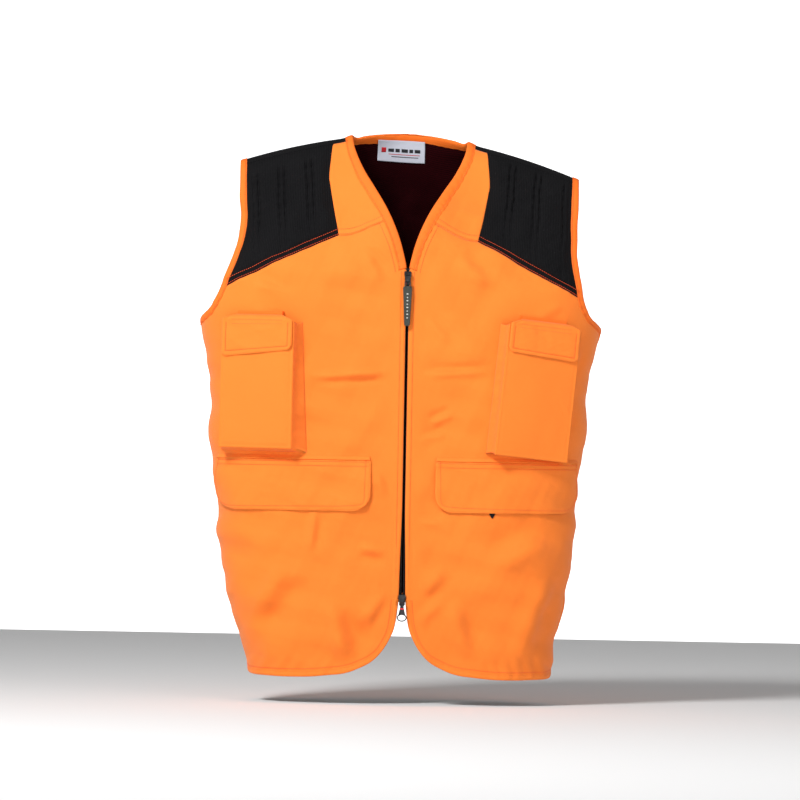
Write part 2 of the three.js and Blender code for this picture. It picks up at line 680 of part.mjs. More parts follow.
// Shoulder pad and neck piece, between the yoke seam and the shoulder seam.
const shoulderEnd = (p) => new THREE.Vector2(p.x, shoulderSeamW - seamHalf);
const belowShoulder = (line) => line.filter((p) => p.y < shoulderSeamW - seamHalf);
const padSeam = new THREE.SplineCurve(PAD_EDGE.map(([x, z]) => spot(x, z))).getPoints(24);
const padSeamLine = [shoulderEnd(padSeam[0]), ...belowShoulder(padSeam)].reverse();
const armAboveSeam = belowShoulder(cutAtSeam([...armFrontMid].reverse(), true, seamHalf));
const padOuter = [...armAboveSeam, shoulderEnd(armFrontMid[0])];
const padInner = moved(padSeamLine, -seamHalf);
padInner[0].y = seamAt(padInner[0].x) + seamHalf;
const padBottom = seamBetween(padInner[0], padOuter[0], seamHalf);
const padGrid = between(padBottom, [padInner.at(-1), padOuter.at(-1)], padInner, padOuter, 7, 7);

const neckAboveSeam = belowShoulder(cutAtSeam(neckMid, true, seamHalf));
const neckInnerSide = [...neckAboveSeam, shoulderEnd(neckAboveSeam.at(-1))];
const neckOuterSide = moved(padSeamLine, seamHalf);
neckOuterSide[0].y = seamAt(neckOuterSide[0].x) + seamHalf;
const neckPieceBottom = seamBetween(neckInnerSide[0], neckOuterSide[0], seamHalf);
const neckPieceTop = [neckInnerSide.at(-1), neckOuterSide.at(-1)];
const neckPieceGrid = between(neckPieceBottom, neckPieceTop, neckInnerSide, neckOuterSide, 5, 7);

for (const side of ["left", "right"]) {
  const panel = trimmed(cloth(sided(frontGrid, side), 0, CLOTH), "neck", `arm_${side}`, `hem_${side}`);
  add(`front_panel_${side}`, fromSolid(panel.subtract(mouthCutter(side))), ORANGE);
  const pad = trimmed(cloth(sided(padGrid, side), 0, PAD), `arm_${side}`);
  add(`shoulder_pad_${side}`, fromSolid(pad), BLACK_CLOTH);
  const neckPiece = trimmed(cloth(sided(neckPieceGrid, side), 0, CLOTH), "neck");
  add(`neck_piece_${side}`, fromSolid(neckPiece), ORANGE);
}

// Back yoke, over the shoulders to the front seam, and the back panel below it.
const backSeamW = (s) => alongFromDrop(shoulderLine(place(s, 150).x) - BACK_SEAM_Z, false);
const overNeck = neckMid.filter((p) => p.y > shoulderSeamW).reverse();
const topEnds = [overNeck.at(-1), armFrontMid[0]].map((p) => new THREE.Vector2(p.x, shoulderSeamW));
const yokeTopHalf = joined([[...overNeck, topEnds[0]], 7], [topEnds, 6]);
const bothHalves = (line) => [...mirrored(line).reverse().slice(0, -1), ...line];
const armAboveBack = armBackMid.filter((p) => p.y < backSeamW(p.x) - seamHalf);
const yokeSide = [topEnds[1], ...armAboveBack].reverse();
const backSeam = (end, gap) =>
  Array.from({ length: 13 }, (_, i) => {
    const s = (end.x * i) / 12;
    return i === 12 ? end : new THREE.Vector2(s, backSeamW(s) + gap);
  });
const yokeBottom = bothHalves(backSeam(yokeSide[0], -seamHalf));
const backYokeGrid = between(yokeBottom, bothHalves(yokeTopHalf), mirrored(yokeSide), yokeSide, 26, 7);
const backYoke = trimmed(cloth(backYokeGrid, 0, CLOTH), "neck", "arm_left", "arm_right");
add("back_yoke", fromSolid(backYoke), BLACK_CLOTH);

const armBelowBack = toSeam(armBackMid.filter((p) => p.y > backSeamW(p.x) + seamHalf)).reverse();
const backHem = toSeam(backHemMid);
const backSide = joined([[backHem.at(-1), armBelowBack[0]], 5], [armBelowBack, 3]);
const backTop = bothHalves(backSeam(backSide.at(-1), seamHalf));
const backGrid = between(backHem, backTop, mirrored(backSide), backSide, 26, 8);
const backPanel = trimmed(cloth(backGrid, 0, CLOTH), "back", "arm_left", "arm_right");
add("back_panel", fromSolid(backPanel), ORANGE);

// ---------------------------------------------------------------- lining
const liningFrom = -LINING_GAP - LINING;
const bagDepth = GAP + 2 * BAG_WALL + BAG_ROOM;

// The front lining runs behind the inside pocket, and comes forward to the cloth above and below it.
const behindBag = [BAG_BOTTOM_Z - 40, FLAP_TOP_Z + 90];
const bagRun = 60;
function liningOffset(p, inner) {
  const at = place(p.x, p.y);
  const across = ease((Math.abs(at.x) - 18) / 30) * ease((SIDE_SEAM_S - Math.abs(p.x)) / 60);
  const down = ease((at.z - behindBag[0] + bagRun) / bagRun) * ease((behindBag[1] + bagRun - at.z) / bagRun);
  const depth = LINING_GAP + (bagDepth + GAP - LINING_GAP) * across * down;
  return -depth - (inner ? LINING : 0);
}

const tapeEdge = ZIP_EDGE + TAPE + 1.5 * GAP;
const shoulderLow = (p) => new THREE.Vector2(p.x, shoulderSeamW - seamHalf);
const liningNeck = belowShoulder(neckMid.slice(0, 80)).filter((p) => p.x > tapeEdge);
const armWhole = belowShoulder(toSeam([...armFrontMid].reverse()));
const levels = [behindBag[0] - 10, behindBag[0] + 20, behindBag[1], behindBag[1] + bagRun];
const innerLevels = levels.map((z) => spot(tapeEdge, z));
const outerLevels = levels.map((z) => new THREE.Vector2(seamEnd, spot(halfWidth(z), z).y));
const liningCorner = hemFrontMid.slice(0, hemTurn + 1).reverse();
const cornerAbove = liningCorner.filter((p) => p.x > tapeEdge && p.y < innerLevels[0].y);
const neckFoot = spot(tapeEdge, ZIP_TOP_Z - 8);
const frontLiningInner = joined(
  [[...cornerAbove, innerLevels[0]], 2],
  [innerLevels, 3],
  [[innerLevels[3], neckFoot], 2],
  [[neckFoot, ...liningNeck, shoulderLow(liningNeck.at(-1))], 9],
);
const frontLiningOuter = joined(
  [[frontBottom.at(-1), outerLevels[0]], 2],
  [outerLevels, 3],
  [[outerLevels[3], armWhole[0]], 2],
  [[...armWhole, shoulderLow(armFrontMid[0])], 9],
);
const frontLiningTop = [frontLiningInner.at(-1), frontLiningOuter.at(-1)];
const frontLiningGrid = between(frontBottom, frontLiningTop, frontLiningInner, frontLiningOuter, 13, 16);
for (const side of ["left", "right"]) {
  const lining = cloth(sided(frontLiningGrid, side), (p) => liningOffset(p, true), (p) => liningOffset(p, false));
  const shaped = trimmed(lining, "neck", `arm_${side}`, `hem_${side}`).subtract(bodyBlock(side, -GAP));
  add(`lining_front_${side}`, fromSolid(shaped), MESH_LINING);
}
const armBackWhole = toSeam(armBackMid).reverse();
const backLiningTop = yokeTopHalf.map((p) => new THREE.Vector2(p.x, Math.max(p.y, shoulderSeamW + 6)));
const shoulderBack = backLiningTop.at(-1);
const backLiningSide = joined([[backHem.at(-1), armBackWhole[0]], 5], [[...armBackWhole, shoulderBack], 9]);
const liningHem = [backHem, bothHalves(backLiningTop)];
const backLiningGrid = between(...liningHem, mirrored(backLiningSide), backLiningSide, 26, 14);
const backLining = trimmed(cloth(backLiningGrid, liningFrom, -LINING_GAP), "neckLining", "back", "arm_left", "arm_right");
const yokeRoom = solid(cloth(backYokeGrid, -GAP, CLOTH + 3));
add("lining_back", fromSolid(backLining.subtract(yokeRoom)), MESH_LINING);

// ---------------------------------------------------------------- zip
// The centre front hangs straight and upright, so the zip is built from straight pieces round x = 0.
const FRONT_Y = -FRONT_DEPTH;
const coilBack = FRONT_Y + (COIL_THICK - 0.2);
const coilFront = coilBack - COIL_THICK;
const coilIn = WEB / 2 + RUN_GAP;
const coilOut = coilIn + COIL;
const tapeIn = coilOut + RUN_GAP;
const coilTop = ZIP_TOP_Z - STOP - GAP;
const pinTop = ZIP_BOTTOM_Z + STOP * 2;
const coilEnd = ZIP_BOTTOM_Z - STOP * 2;
const sideBox = (side, x0, x1, y0, y1, z0, z1) => {
  const xs = [x0 * SIDES[side], x1 * SIDES[side]].sort((a, b) => a - b);
  return box([xs[0], y0, z0], [xs[1], y1, z1]);
};
for (const side of ["left", "right"]) {
  const tape = sideBox(side, tapeIn, tapeIn + TAPE, FRONT_Y + GAP, FRONT_Y + GAP + TAPE_THICK, coilEnd, ZIP_TOP_Z);
  add(`zip_tape_${side}`, fromSolid(trimmed(tape, "neck", `hem_${side}`)), BLACK_CLOTH);
  const part = (name, z0, z1, material) =>
    add(`${name}_${side}`, sideBox(side, coilIn, coilOut, coilFront, coilBack, z0, z1), material);
  part("zip_coil", pinTop + RUN_GAP, coilTop, BLACK_PLASTIC);
  part("zip_top_stop", coilTop + RUN_GAP, coilTop + RUN_GAP + STOP, BLACK_METAL);
  part("zip_end_pin", coilEnd, pinTop, BLACK_METAL);
}

// A slider: two plates, the web between the rows, and two lugs with a pin for its pull.
const plateFront = FRONT_Y - BINDING_OUT - 0.6;
const plateBack = FRONT_Y + BINDING_IN + 0.5;
const pullY = plateFront - PLATE - LINK_WALL - RIVET_RADIUS - 2 * RUN_GAP;
const lugIn = LINK_WIDTH / 2 + RUN_GAP;
const cylinderX = (radius, x0, x1, y, z, sides = 12) =>
  new THREE.CylinderGeometry(radius, radius, x1 - x0, sides)
    .rotateZ(Math.PI / 2)
    .translate((x0 + x1) / 2, y, z);

function slider(top, pinZ) {
  const half = SLIDER_WIDTH / 2;
  const taper = (y0, y1) =>
    plate(
      [
        [-half, top],
        [-half * 0.8, top - SLIDER_LENGTH],
        [half * 0.8, top - SLIDER_LENGTH],
        [half, top],
      ],
      y0,
      y1,
    );
  let made = solid(taper(plateFront - PLATE, plateFront));
  made = made.add(solid(taper(plateBack, plateBack + PLATE)));
  const web = box(
    [-WEB / 2, plateFront - 0.1, top - SLIDER_LENGTH + 4],
    [WEB / 2, plateBack + 0.1, top - 2],
  );
  made = made.add(solid(web));
  const reach = PIN_RADIUS + 0.9;
  for (const side of [-1, 1]) {
    const xs = [side * lugIn, side * (lugIn + LUG)].sort((a, b) => a - b);
    const lug = box([xs[0], pullY - reach, pinZ - reach], [xs[1], plateFront - PLATE + 0.1, pinZ + reach]);
    made = made.add(solid(lug));
  }
  return made.add(solid(cylinderX(PIN_RADIUS, -lugIn - 0.5, lugIn + 0.5, pullY, pinZ)));
}

const sliderTop = coilTop - RUN_GAP;
const topPinZ = sliderTop - 4;
add("zip_slider_top", fromSolid(slider(sliderTop, topPinZ)), BLACK_METAL);
const lowSliderTop = pinTop;
const lowPinZ = lowSliderTop - SLIDER_LENGTH + 3;
add("zip_slider_bottom", fromSolid(slider(lowSliderTop, lowPinZ)), BLACK_METAL);

// The link between the top slider's pin and the tab's rivet, with an eye at each end.
const rivetZ = topPinZ - LINK_LENGTH;
const eyeBore = PIN_RADIUS + RUN_GAP;
const rivetBore = RIVET_RADIUS + RUN_GAP;
function eye(bore, z) {
  const outer = solid(cylinderX(bore + LINK_WALL, -LINK_WIDTH / 2, LINK_WIDTH / 2, pullY, z, 16));
  return { outer, hole: solid(cylinderX(bore, -LINK_WIDTH, LINK_WIDTH, pullY, z)) };
}
const [upperEye, lowerEye] = [eye(eyeBore, topPinZ), eye(rivetBore, rivetZ)];
const linkBar = box([-LINK_WIDTH / 2, pullY - 0.8, rivetZ], [LINK_WIDTH / 2, pullY + 0.8, topPinZ]);
const link = solid(linkBar).add(upperEye.outer).add(lowerEye.outer).subtract(upperEye.hole);
add("zip_pull_link", fromSolid(link.subtract(lowerEye.hole)), BLACK_METAL);

// The rubber tab, with two ears that hold the red rivet.
const tabTopZ = rivetZ - rivetBore - LINK_WALL - RUN_GAP;
const tabEndZ = tabTopZ - TAB_LENGTH;
const tabOutline = [
  [-TAB_TOP / 2 + 1.5, tabTopZ],
  [-TAB_TOP / 2, tabTopZ - 5],
  [-TAB_BOTTOM / 2, tabEndZ + 3],
  [-TAB_BOTTOM / 2 + 2, tabEndZ],
  [TAB_BOTTOM / 2 - 2, tabEndZ],
  [TAB_BOTTOM / 2, tabEndZ + 3],
  [TAB_TOP / 2, tabTopZ - 5],
  [TAB_TOP / 2 - 1.5, tabTopZ],
];
const earReach = RIVET_RADIUS + 1;
let tab = solid(plate(tabOutline, pullY - TAB_THICK / 2, pullY + TAB_THICK / 2));
for (const side of [-1, 1]) {
  const xs = [side * lugIn, side * (lugIn + 1.6)].sort((a, b) => a - b);
  const ear = box([xs[0], pullY - earReach, tabTopZ - 2], [xs[1], pullY + earReach, rivetZ + earReach]);
  tab = tab.add(solid(ear));
}
const rivetHalf = lugIn + 1.6;
tab = tab.subtract(solid(cylinderX(RIVET_RADIUS + 0.3, -rivetHalf - 1, rivetHalf + 1, pullY, rivetZ)));
add("zip_pull_tab", fromSolid(tab), GREY_RUBBER);
add("zip_pull_rivet", cylinderX(RIVET_RADIUS, -rivetHalf, rivetHalf, pullY, rivetZ, 14), RED);

// The lower slider's oval ring, on a plate that widens towards it, with a red mark across the plate.
const ringTopZ = lowPinZ - eyeBore - LINK_WALL - RING_NECK;
const ringMiddle = ringTopZ - RING_HEIGHT / 2;
const wireHalf = TAB_THICK / 3;
const ringHole = oval(0, ringMiddle, RING_WIDTH / 2 - RING_WIRE, RING_HEIGHT / 2 - RING_WIRE, 20);
const ringPlate = plate(
  oval(0, ringMiddle, RING_WIDTH / 2, RING_HEIGHT / 2, 20),
  pullY - wireHalf,
  pullY + wireHalf,
);
const neckTop = lowPinZ - eyeBore - 0.3;
const neckPlate = plate(
  [
    [-LINK_WIDTH / 2, neckTop],
    [-RING_WIDTH * 0.36, ringTopZ - 1.5],
    [RING_WIDTH * 0.36, ringTopZ - 1.5],
    [LINK_WIDTH / 2, neckTop],
  ],
  pullY - wireHalf,
  pullY + wireHalf,
);
const ringEye = eye(eyeBore, lowPinZ);
const holeCut = plate(ringHole, pullY - 5, pullY + 5);
const ring = solid(ringPlate).add(solid(neckPlate)).add(ringEye.outer).subtract(ringEye.hole);
add("zip_pull_ring", fromSolid(ring.subtract(solid(holeCut))), BLACK_METAL);
const markFront = pullY - wireHalf - 0.3;
const markZ = ringTopZ + RING_NECK * 0.6;
add("zip_ring_mark", box([-2.8, markFront - 0.6, markZ - 1.1], [2.8, markFront, markZ + 1.1]), RED);

// ---------------------------------------------------------------- chest pockets
// A pocket's own frame: x away from the centre line, y outward, z up, from the middle of the flap's seam.
function pocketFrame(side) {
  const sign = SIDES[side];
  const middle = spot(POUCH_X, POUCH_TOP_Z);
  const seat = place(sign * middle.x, middle.y).addScaledVector(outward(sign * middle.x, middle.y), CLOTH + 4.5);
  const facing = outward(middle.x, middle.y);
  const turned = Math.atan2(facing.x, -facing.y) + THREE.MathUtils.degToRad(POUCH_TURN);
  const turn = new THREE.Matrix4().makeRotationZ(sign * turned);
  const tilt = new THREE.Matrix4().makeRotationY(THREE.MathUtils.degToRad(-POUCH_TILT[side] * sign));
  const mirror = new THREE.Matrix4().makeScale(sign, -1, 1);
  return new THREE.Matrix4().setPosition(seat).multiply(turn).multiply(tilt).multiply(mirror);
}

// A solid between two flat loops of corners given in a pocket's own frame.
function loopSolid(near, far, frame) {
  const toWorld = (corners) => corners.map((c) => new THREE.Vector3(...c).applyMatrix4(frame));
  return solid(frustum(toWorld(near), toWorld(far)));
}

function pouch(side, frame) {
  const half = POUCH_WIDTH / 2;
  const length = POUCH_LENGTH[side];
  const spread = POUCH_SPREAD[side];
  const reach = -24; // well inside the body, to be cut back
  const depthIn = 24; // the gusset spreads this much over this depth
  const grow = (POUCH_DEPTH - reach) / depthIn;
  const loop = (edge, top, n, k) => [
    [-half + edge - POUCH_SPREAD_TOP * k, n, top],
    [half - edge + 1 * k, n, top],
    [half - edge + 1 * k, n, -length + edge - POUCH_DROP[side] * k],
    [-half + edge - spread * k, n, -length + edge - POUCH_DROP[side] * k],
  ];
  const outer = loopSolid(loop(0, -POUCH_MOUTH, POUCH_DEPTH, 0), loop(0, -POUCH_MOUTH, reach, grow), frame);
  const front = POUCH_DEPTH - POUCH_WALL;
  const inner = loopSolid(loop(POUCH_WALL, 5, front, 0), loop(POUCH_WALL, 5, reach - 5, grow), frame);
  const around = bodyBlock(side);
  return outer.subtract(inner).subtract(around);
}

function chestFlap(side, frame) {
  const half = CHEST_FLAP_WIDTH / 2;
  const seam = CHEST_FLAP_SEAM / 2;
  const back = POUCH_DEPTH + FLAP_ROOM;
  const face = back + FLAP_CLOTH;
  const [inner, outer] = [-CHEST_FLAP_INNER[side], -CHEST_FLAP_OUTER[side]];
  const fold = -CHEST_FLAP_FOLD;
  const outline = [
    [-half, fold],
    [-half, inner + CHEST_FLAP_CUT],
    [-half + CHEST_FLAP_CUT, inner],
    [half - CHEST_FLAP_CUT, outer],
    [half, outer + CHEST_FLAP_CUT],
    [half, fold],
  ];
  const panel = plate(outline, back, face);
  panel.applyMatrix4(frame);
  const bridge = loopSolid(
    [[-seam, 0.2, 0], [seam, 0.2, 0], [seam, 0.2, -FLAP_CLOTH], [-seam, 0.2, -FLAP_CLOTH]],
    [[-half, face, fold], [half, face, fold], [half, face, fold - FLAP_CLOTH], [-half, face, fold - FLAP_CLOTH]],
    frame,
  );
  return sound(panel).add(bridge);
}

// A mirrored frame turns a solid inside out, so its faces are put back.
function sound(geometry) {
  const bare = geometry.clone();
  bare.deleteAttribute("normal");
  bare.deleteAttribute("uv");
  const merged = mergeVertices(bare, 1e-4);
  const index = Array.from(merged.index.array);
  const position = merged.attributes.position;
  const points = Array.from({ length: position.count }, (_, i) => new THREE.Vector3().fromBufferAttribute(position, i));
  const faces = [];
  for (let i = 0; i < index.length; i += 3) faces.push(index.slice(i, i + 3));
  if (signedVolume(points, faces) < 0) faces.forEach((f) => f.reverse());
  return solid(geometryOf(points, faces));
}

// A flat block in a pocket's own frame.
function pocketBlock(frame, low, high) {
  const geometry = box(low, high);
  geometry.applyMatrix4(frame);
  return sound(geometry);
}

for (const side of ["left", "right"]) {
  const frame = pocketFrame(side);
  add(`chest_pocket_${side}`, fromSolid(pouch(side, frame)), ORANGE);
  add(`chest_flap_${side}`, fromSolid(chestFlap(side, frame)), ORANGE);
  const seam = CHEST_FLAP_SEAM / 2;
  const strip = pocketBlock(frame, [-seam, -16, -FLAP_CLOTH], [seam, -0.3, 4.5]);
  add(`chest_flap_seam_${side}`, fromSolid(strip.subtract(bodyBlock(side))), ORANGE);
  const middle = -(POUCH_MOUTH + CHEST_FLAP_INNER[side]) / 2 - 6;
  const patch = (y) => pocketBlock(frame, [-22, y, middle - 9], [22, y + PATCH, middle + 9]);
  add(`chest_loop_patch_${side}`, fromSolid(patch(POUCH_DEPTH + 0.2)), ORANGE);
  const hookY = POUCH_DEPTH + FLAP_ROOM - 0.2 - PATCH;
  add(`chest_hook_patch_${side}`, fromSolid(patch(hookY)), ORANGE);
}

// ---------------------------------------------------------------- lower pockets
const flapFrom = CLOTH + FLAP_ROOM;
const flapEndZ = FLAP_TOP_Z - FLAP_LENGTH;
const flapArc = (cx, cz, from, to) =>
  Array.from({ length: 6 }, (_, i) => {
    const a = THREE.MathUtils.degToRad(from + ((to - from) * i) / 5);
    return spot(cx + FLAP_CORNER * Math.cos(a), cz + FLAP_CORNER * Math.sin(a));
  });
const arcZ = flapEndZ + FLAP_CORNER;
const innerArc = flapArc(FLAP_IN + FLAP_CORNER, arcZ, 225, 180);
const innerArcLow = flapArc(FLAP_IN + FLAP_CORNER, arcZ, 225, 270);
const outerArcLow = flapArc(FLAP_OUT - FLAP_CORNER, arcZ, 270, 315);
const outerArc = flapArc(FLAP_OUT - FLAP_CORNER, arcZ, 315, 360);
const flapStart = FLAP_TOP_Z - 1;
const level = (x0, x1, z, steps) =>
  Array.from({ length: steps + 1 }, (_, i) => spot(x0 + ((x1 - x0) * i) / steps, z));
const flapLow = level(FLAP_IN + FLAP_CORNER, FLAP_OUT - FLAP_CORNER, flapEndZ, 11);
const flapGrid = between(
  joined([innerArcLow, 2], [flapLow, 11], [outerArcLow, 3]),
  level(FLAP_IN, FLAP_OUT, flapStart, 16),
  joined([innerArc, 2], [[innerArc.at(-1), spot(FLAP_IN, flapStart)], 2]),
  joined([outerArc, 2], [[outerArc.at(-1), spot(FLAP_OUT, flapStart)], 2]),
  16,
  4,
);
const area = (x0, x1, z0, z1, across, up) =>
  Array.from({ length: up + 1 }, (_, j) => level(x0, x1, z0 + ((z1 - z0) * j) / up, across));

function bag(side) {
  const front = -GAP;
  const back = -bagDepth;
  const outer = solid(cloth(sided(area(BAG_IN, BAG_OUT, BAG_BOTTOM_Z, FLAP_TOP_Z - 2, 10, 1), side), back, front));
  const w = BAG_WALL;
  const roomGrid = area(BAG_IN + w, BAG_OUT - w, BAG_BOTTOM_Z + w, FLAP_TOP_Z - 2 - w, 10, 1);
  const room = solid(cloth(sided(roomGrid, side), back + w, front - w));
  return outer.subtract(room).subtract(mouthCutter(side)).subtract(bodyBlock(side, -GAP / 2));
}

for (const side of ["left", "right"]) {
  add(`lower_pocket_bag_${side}`, fromSolid(bag(side)), BLACK_CLOTH);
  add(`lower_flap_${side}`, cloth(sided(flapGrid, side), flapFrom, flapFrom + FLAP_CLOTH), ORANGE);
  const seamGrid = sided(area(FLAP_IN + 2, FLAP_OUT - 2, FLAP_TOP_Z, FLAP_TOP_Z + 5, 14, 1), side);
  add(`lower_flap_seam_${side}`, cloth(seamGrid, CLOTH + GAP, CLOTH + FLAP_ROOM + FLAP_CLOTH), ORANGE);
  for (const [end, x] of [["inner", 78], ["outer", 178]]) {
    const patchGrid = sided(area(x, x + 30, flapEndZ + 10, flapEndZ + 26, 3, 1), side);
    add(`lower_loop_${end}_${side}`, cloth(patchGrid, CLOTH + 0.25, CLOTH + 0.25 + PATCH), ORANGE);
    add(`lower_hook_${end}_${side}`, cloth(patchGrid, flapFrom - 0.4 - PATCH, flapFrom - 0.4), ORANGE);
  }
}
const tipZ = flapEndZ - TAB_STRIP_PEEK;
const tabGrid = [
  [tipZ, 0.6],
  [tipZ + 6, TAB_STRIP],
  [mouthTopZ - MOUTH_HEIGHT - 3, TAB_STRIP],
].map(([z, width]) => [spot(TAB_STRIP_X - width / 2, z), spot(TAB_STRIP_X + width / 2, z)]);
add("lower_pocket_tab_left", cloth(tabGrid, CLOTH + 0.25, CLOTH + 1), BLACK_CLOTH);

// ---------------------------------------------------------------- neck label
const labelTopZ = BACK_NECK_Z - 7;
const labelFrom = LABEL_X - LABEL_WIDTH / 2;
const labelRows = [labelTopZ - LABEL_HEIGHT, labelTopZ - LABEL_HEIGHT / 2, labelTopZ].map((z) =>
  Array.from({ length: 7 }, (_, i) => spot(labelFrom + (LABEL_WIDTH * i) / 6, z, false)),
);
const labelOut = -BINDING_IN - 1.2;
add("neck_label", cloth(labelRows, labelOut - LABEL_THICK, labelOut), WHITE_CLOTH);

export default vest;
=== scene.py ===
"""The looks of the field vest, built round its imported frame. Millimetres in the making, metres in Blender.

The cloth is a chart (s, w): s runs round the body from the centre line, w down from the shoulder line,
negative on the front. Every soft piece is a stretch of that chart, offset along the cloth's normal.
"""

import math

import bmesh
import bpy
import numpy as np
from mathutils import Matrix, Vector


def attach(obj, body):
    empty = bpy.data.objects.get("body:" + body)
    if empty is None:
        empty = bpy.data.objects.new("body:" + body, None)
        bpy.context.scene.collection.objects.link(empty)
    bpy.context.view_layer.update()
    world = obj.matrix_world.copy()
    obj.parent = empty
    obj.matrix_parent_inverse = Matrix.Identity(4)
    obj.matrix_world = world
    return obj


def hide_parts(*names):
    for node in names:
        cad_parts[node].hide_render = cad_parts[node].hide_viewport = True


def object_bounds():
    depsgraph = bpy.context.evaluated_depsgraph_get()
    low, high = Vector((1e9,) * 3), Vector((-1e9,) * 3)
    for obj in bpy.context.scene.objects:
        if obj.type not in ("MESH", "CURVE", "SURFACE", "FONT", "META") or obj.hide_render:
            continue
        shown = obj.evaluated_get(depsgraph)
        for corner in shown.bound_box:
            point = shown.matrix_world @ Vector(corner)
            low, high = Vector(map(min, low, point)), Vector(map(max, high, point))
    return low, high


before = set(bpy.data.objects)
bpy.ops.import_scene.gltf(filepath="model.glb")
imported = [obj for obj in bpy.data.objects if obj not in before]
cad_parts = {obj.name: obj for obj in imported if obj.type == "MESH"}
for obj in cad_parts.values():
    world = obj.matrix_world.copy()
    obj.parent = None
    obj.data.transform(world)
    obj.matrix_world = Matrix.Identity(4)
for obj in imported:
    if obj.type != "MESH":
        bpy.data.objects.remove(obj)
cad_low, cad_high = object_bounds()
MM = 0.001
SIDES = {"left": 1, "right": -1}  # the wearer's sides

# ---------------------------------------------------------------- sizes, the frame's own
HALF_CHEST, HALF_WAIST, HALF_HIP, HALF_HEM = 266, 249, 232, 200
UNDERARM_Z, WAIST_Z, HIP_Z, HEM_Z = -236, -393, -560, -710
BACK_HEM_RISE = 100
FRONT_DEPTH = BACK_DEPTH = 80
SECTION_POWER = 5
NECK_POINT_X, NECK_POINT_Z, NECK_CENTRE_RISE = 86, 7, 45
SHOULDER_SLOPE = 0.3
SHOULDER_TIP_X = 226
FRONT_ROUND, BACK_ROUND, FRONT_RUN, BACK_RUN = 26, 45, 190, 150
SIDE_BIAS, SHOULDER_TILT = 0.035, 0.04
CLOTH, LINING, LINING_GAP = 1.2, 0.9, 2.8
BINDING = 9.5
ZIP_TOP_Z, ZIP_BOTTOM_Z = -164, -604
BACK_SEAM_Z = -165
SHOULDER_SEAM_DROP = 6
FRONT_Y = -FRONT_DEPTH
YOKE_ROWS = (1.6, 8.0)  # distances of the two rows of topstitching above the yoke seam
BACK_ROWS = (2.0, 8.0)  # and above the seam between the back yoke and the back panel
BAG_FOOT_Z = -600  # the foot of the bags behind the lower flaps
FLAP_ROWS = (7.5, 1.8)  # and below the fold of a lower flap
BINDING_ROW = 7.6  # the row that holds a binding, from the bound edge
EDGE_CLEAR = 2  # how far inside the bound edges the cloth ends


# ---------------------------------------------------------------- the shape of the body
def ease(v):
    t = np.clip(v, 0, 1)
    return t * t * (3 - 2 * t)


def bump(v):
    """1 at 0, falling smoothly to 0 at 1 each way."""
    return 1 - ease(np.abs(v))


def through(pairs):
    """A smooth curve through (place, value) pairs, places falling."""
    places = np.array([p for p, _ in pairs], float)
    values = np.array([v for _, v in pairs], float)
    last = len(pairs) - 1
    below, above = np.maximum(np.arange(last + 1) - 1, 0), np.minimum(np.arange(last + 1) + 1, last)
    slopes = (values[above] - values[below]) / (places[above] - places[below])

    def curve(place_at):
        at = np.clip(place_at, places[-1], places[0])
        i = np.clip(np.searchsorted(-places, -at, side="right") - 1, 0, last - 1)
        run = places[i + 1] - places[i]
        t = (at - places[i]) / run
        a = 2 * t**3 - 3 * t * t + 1
        b = t**3 - 2 * t * t + t
        c = t**3 - t * t
        return a * values[i] + b * run * slopes[i] + (1 - a) * values[i + 1] + c * run * slopes[i + 1]

    return curve


half_width = through([
    (0, HALF_CHEST),
    (UNDERARM_Z, HALF_CHEST),
    ((UNDERARM_Z + WAIST_Z) / 2, (HALF_CHEST + 3 * HALF_WAIST) / 4),
    (WAIST_Z, HALF_WAIST),
    (HIP_Z, HALF_HIP),
    (HEM_Z, HALF_HEM),
])


def shoulder_line(x):
    past = np.abs(x) - NECK_POINT_X
    t = 1 + np.minimum(past, 0) / NECK_POINT_X
    a = 2 * t**3 - 3 * t * t + 1
    c = t**3 - t * t
    top = NECK_POINT_Z + NECK_CENTRE_RISE
    inside = a * top + (1 - a) * NECK_POINT_Z - c * NECK_POINT_X * SHOULDER_SLOPE
    return np.where(past >= 0, NECK_POINT_Z - SHOULDER_SLOPE * past, inside)


_angle = np.linspace(0, math.pi / 2, 241)
SECTION_U = np.sin(_angle) ** (2 / SECTION_POWER)
SECTION_LIFT = np.cos(_angle)
_steps = np.hypot(np.diff(SECTION_U), FRONT_DEPTH / HALF_WAIST * np.diff(SECTION_LIFT)) * HALF_WAIST
SECTION_S = np.concatenate([[0], np.cumsum(_steps)])
SIDE_SEAM_S = float(SECTION_S[-1])


def along_from_drop(drop, front=True):
    """How far down the cloth a drop below the shoulder line lies."""
    radius = FRONT_ROUND if front else BACK_ROUND
    down = np.maximum(0, drop)
    over = radius * np.arccos(np.clip(1 - down / radius, -1, 1))
    along = np.where(down < radius, over, radius * math.pi / 2 + down - radius)
    return -along if front else along


def hang_at(z):
    """How the vest hangs: its drift to one side, a share of |x|, and its slope, a share of x."""
    bias = SIDE_BIAS * ease((-100 - z) / 130) * (1 - 0.7 * ease((-620 - z) / 90))
    return bias, SHOULDER_TILT * (1 - ease((-60 - z) / 240))


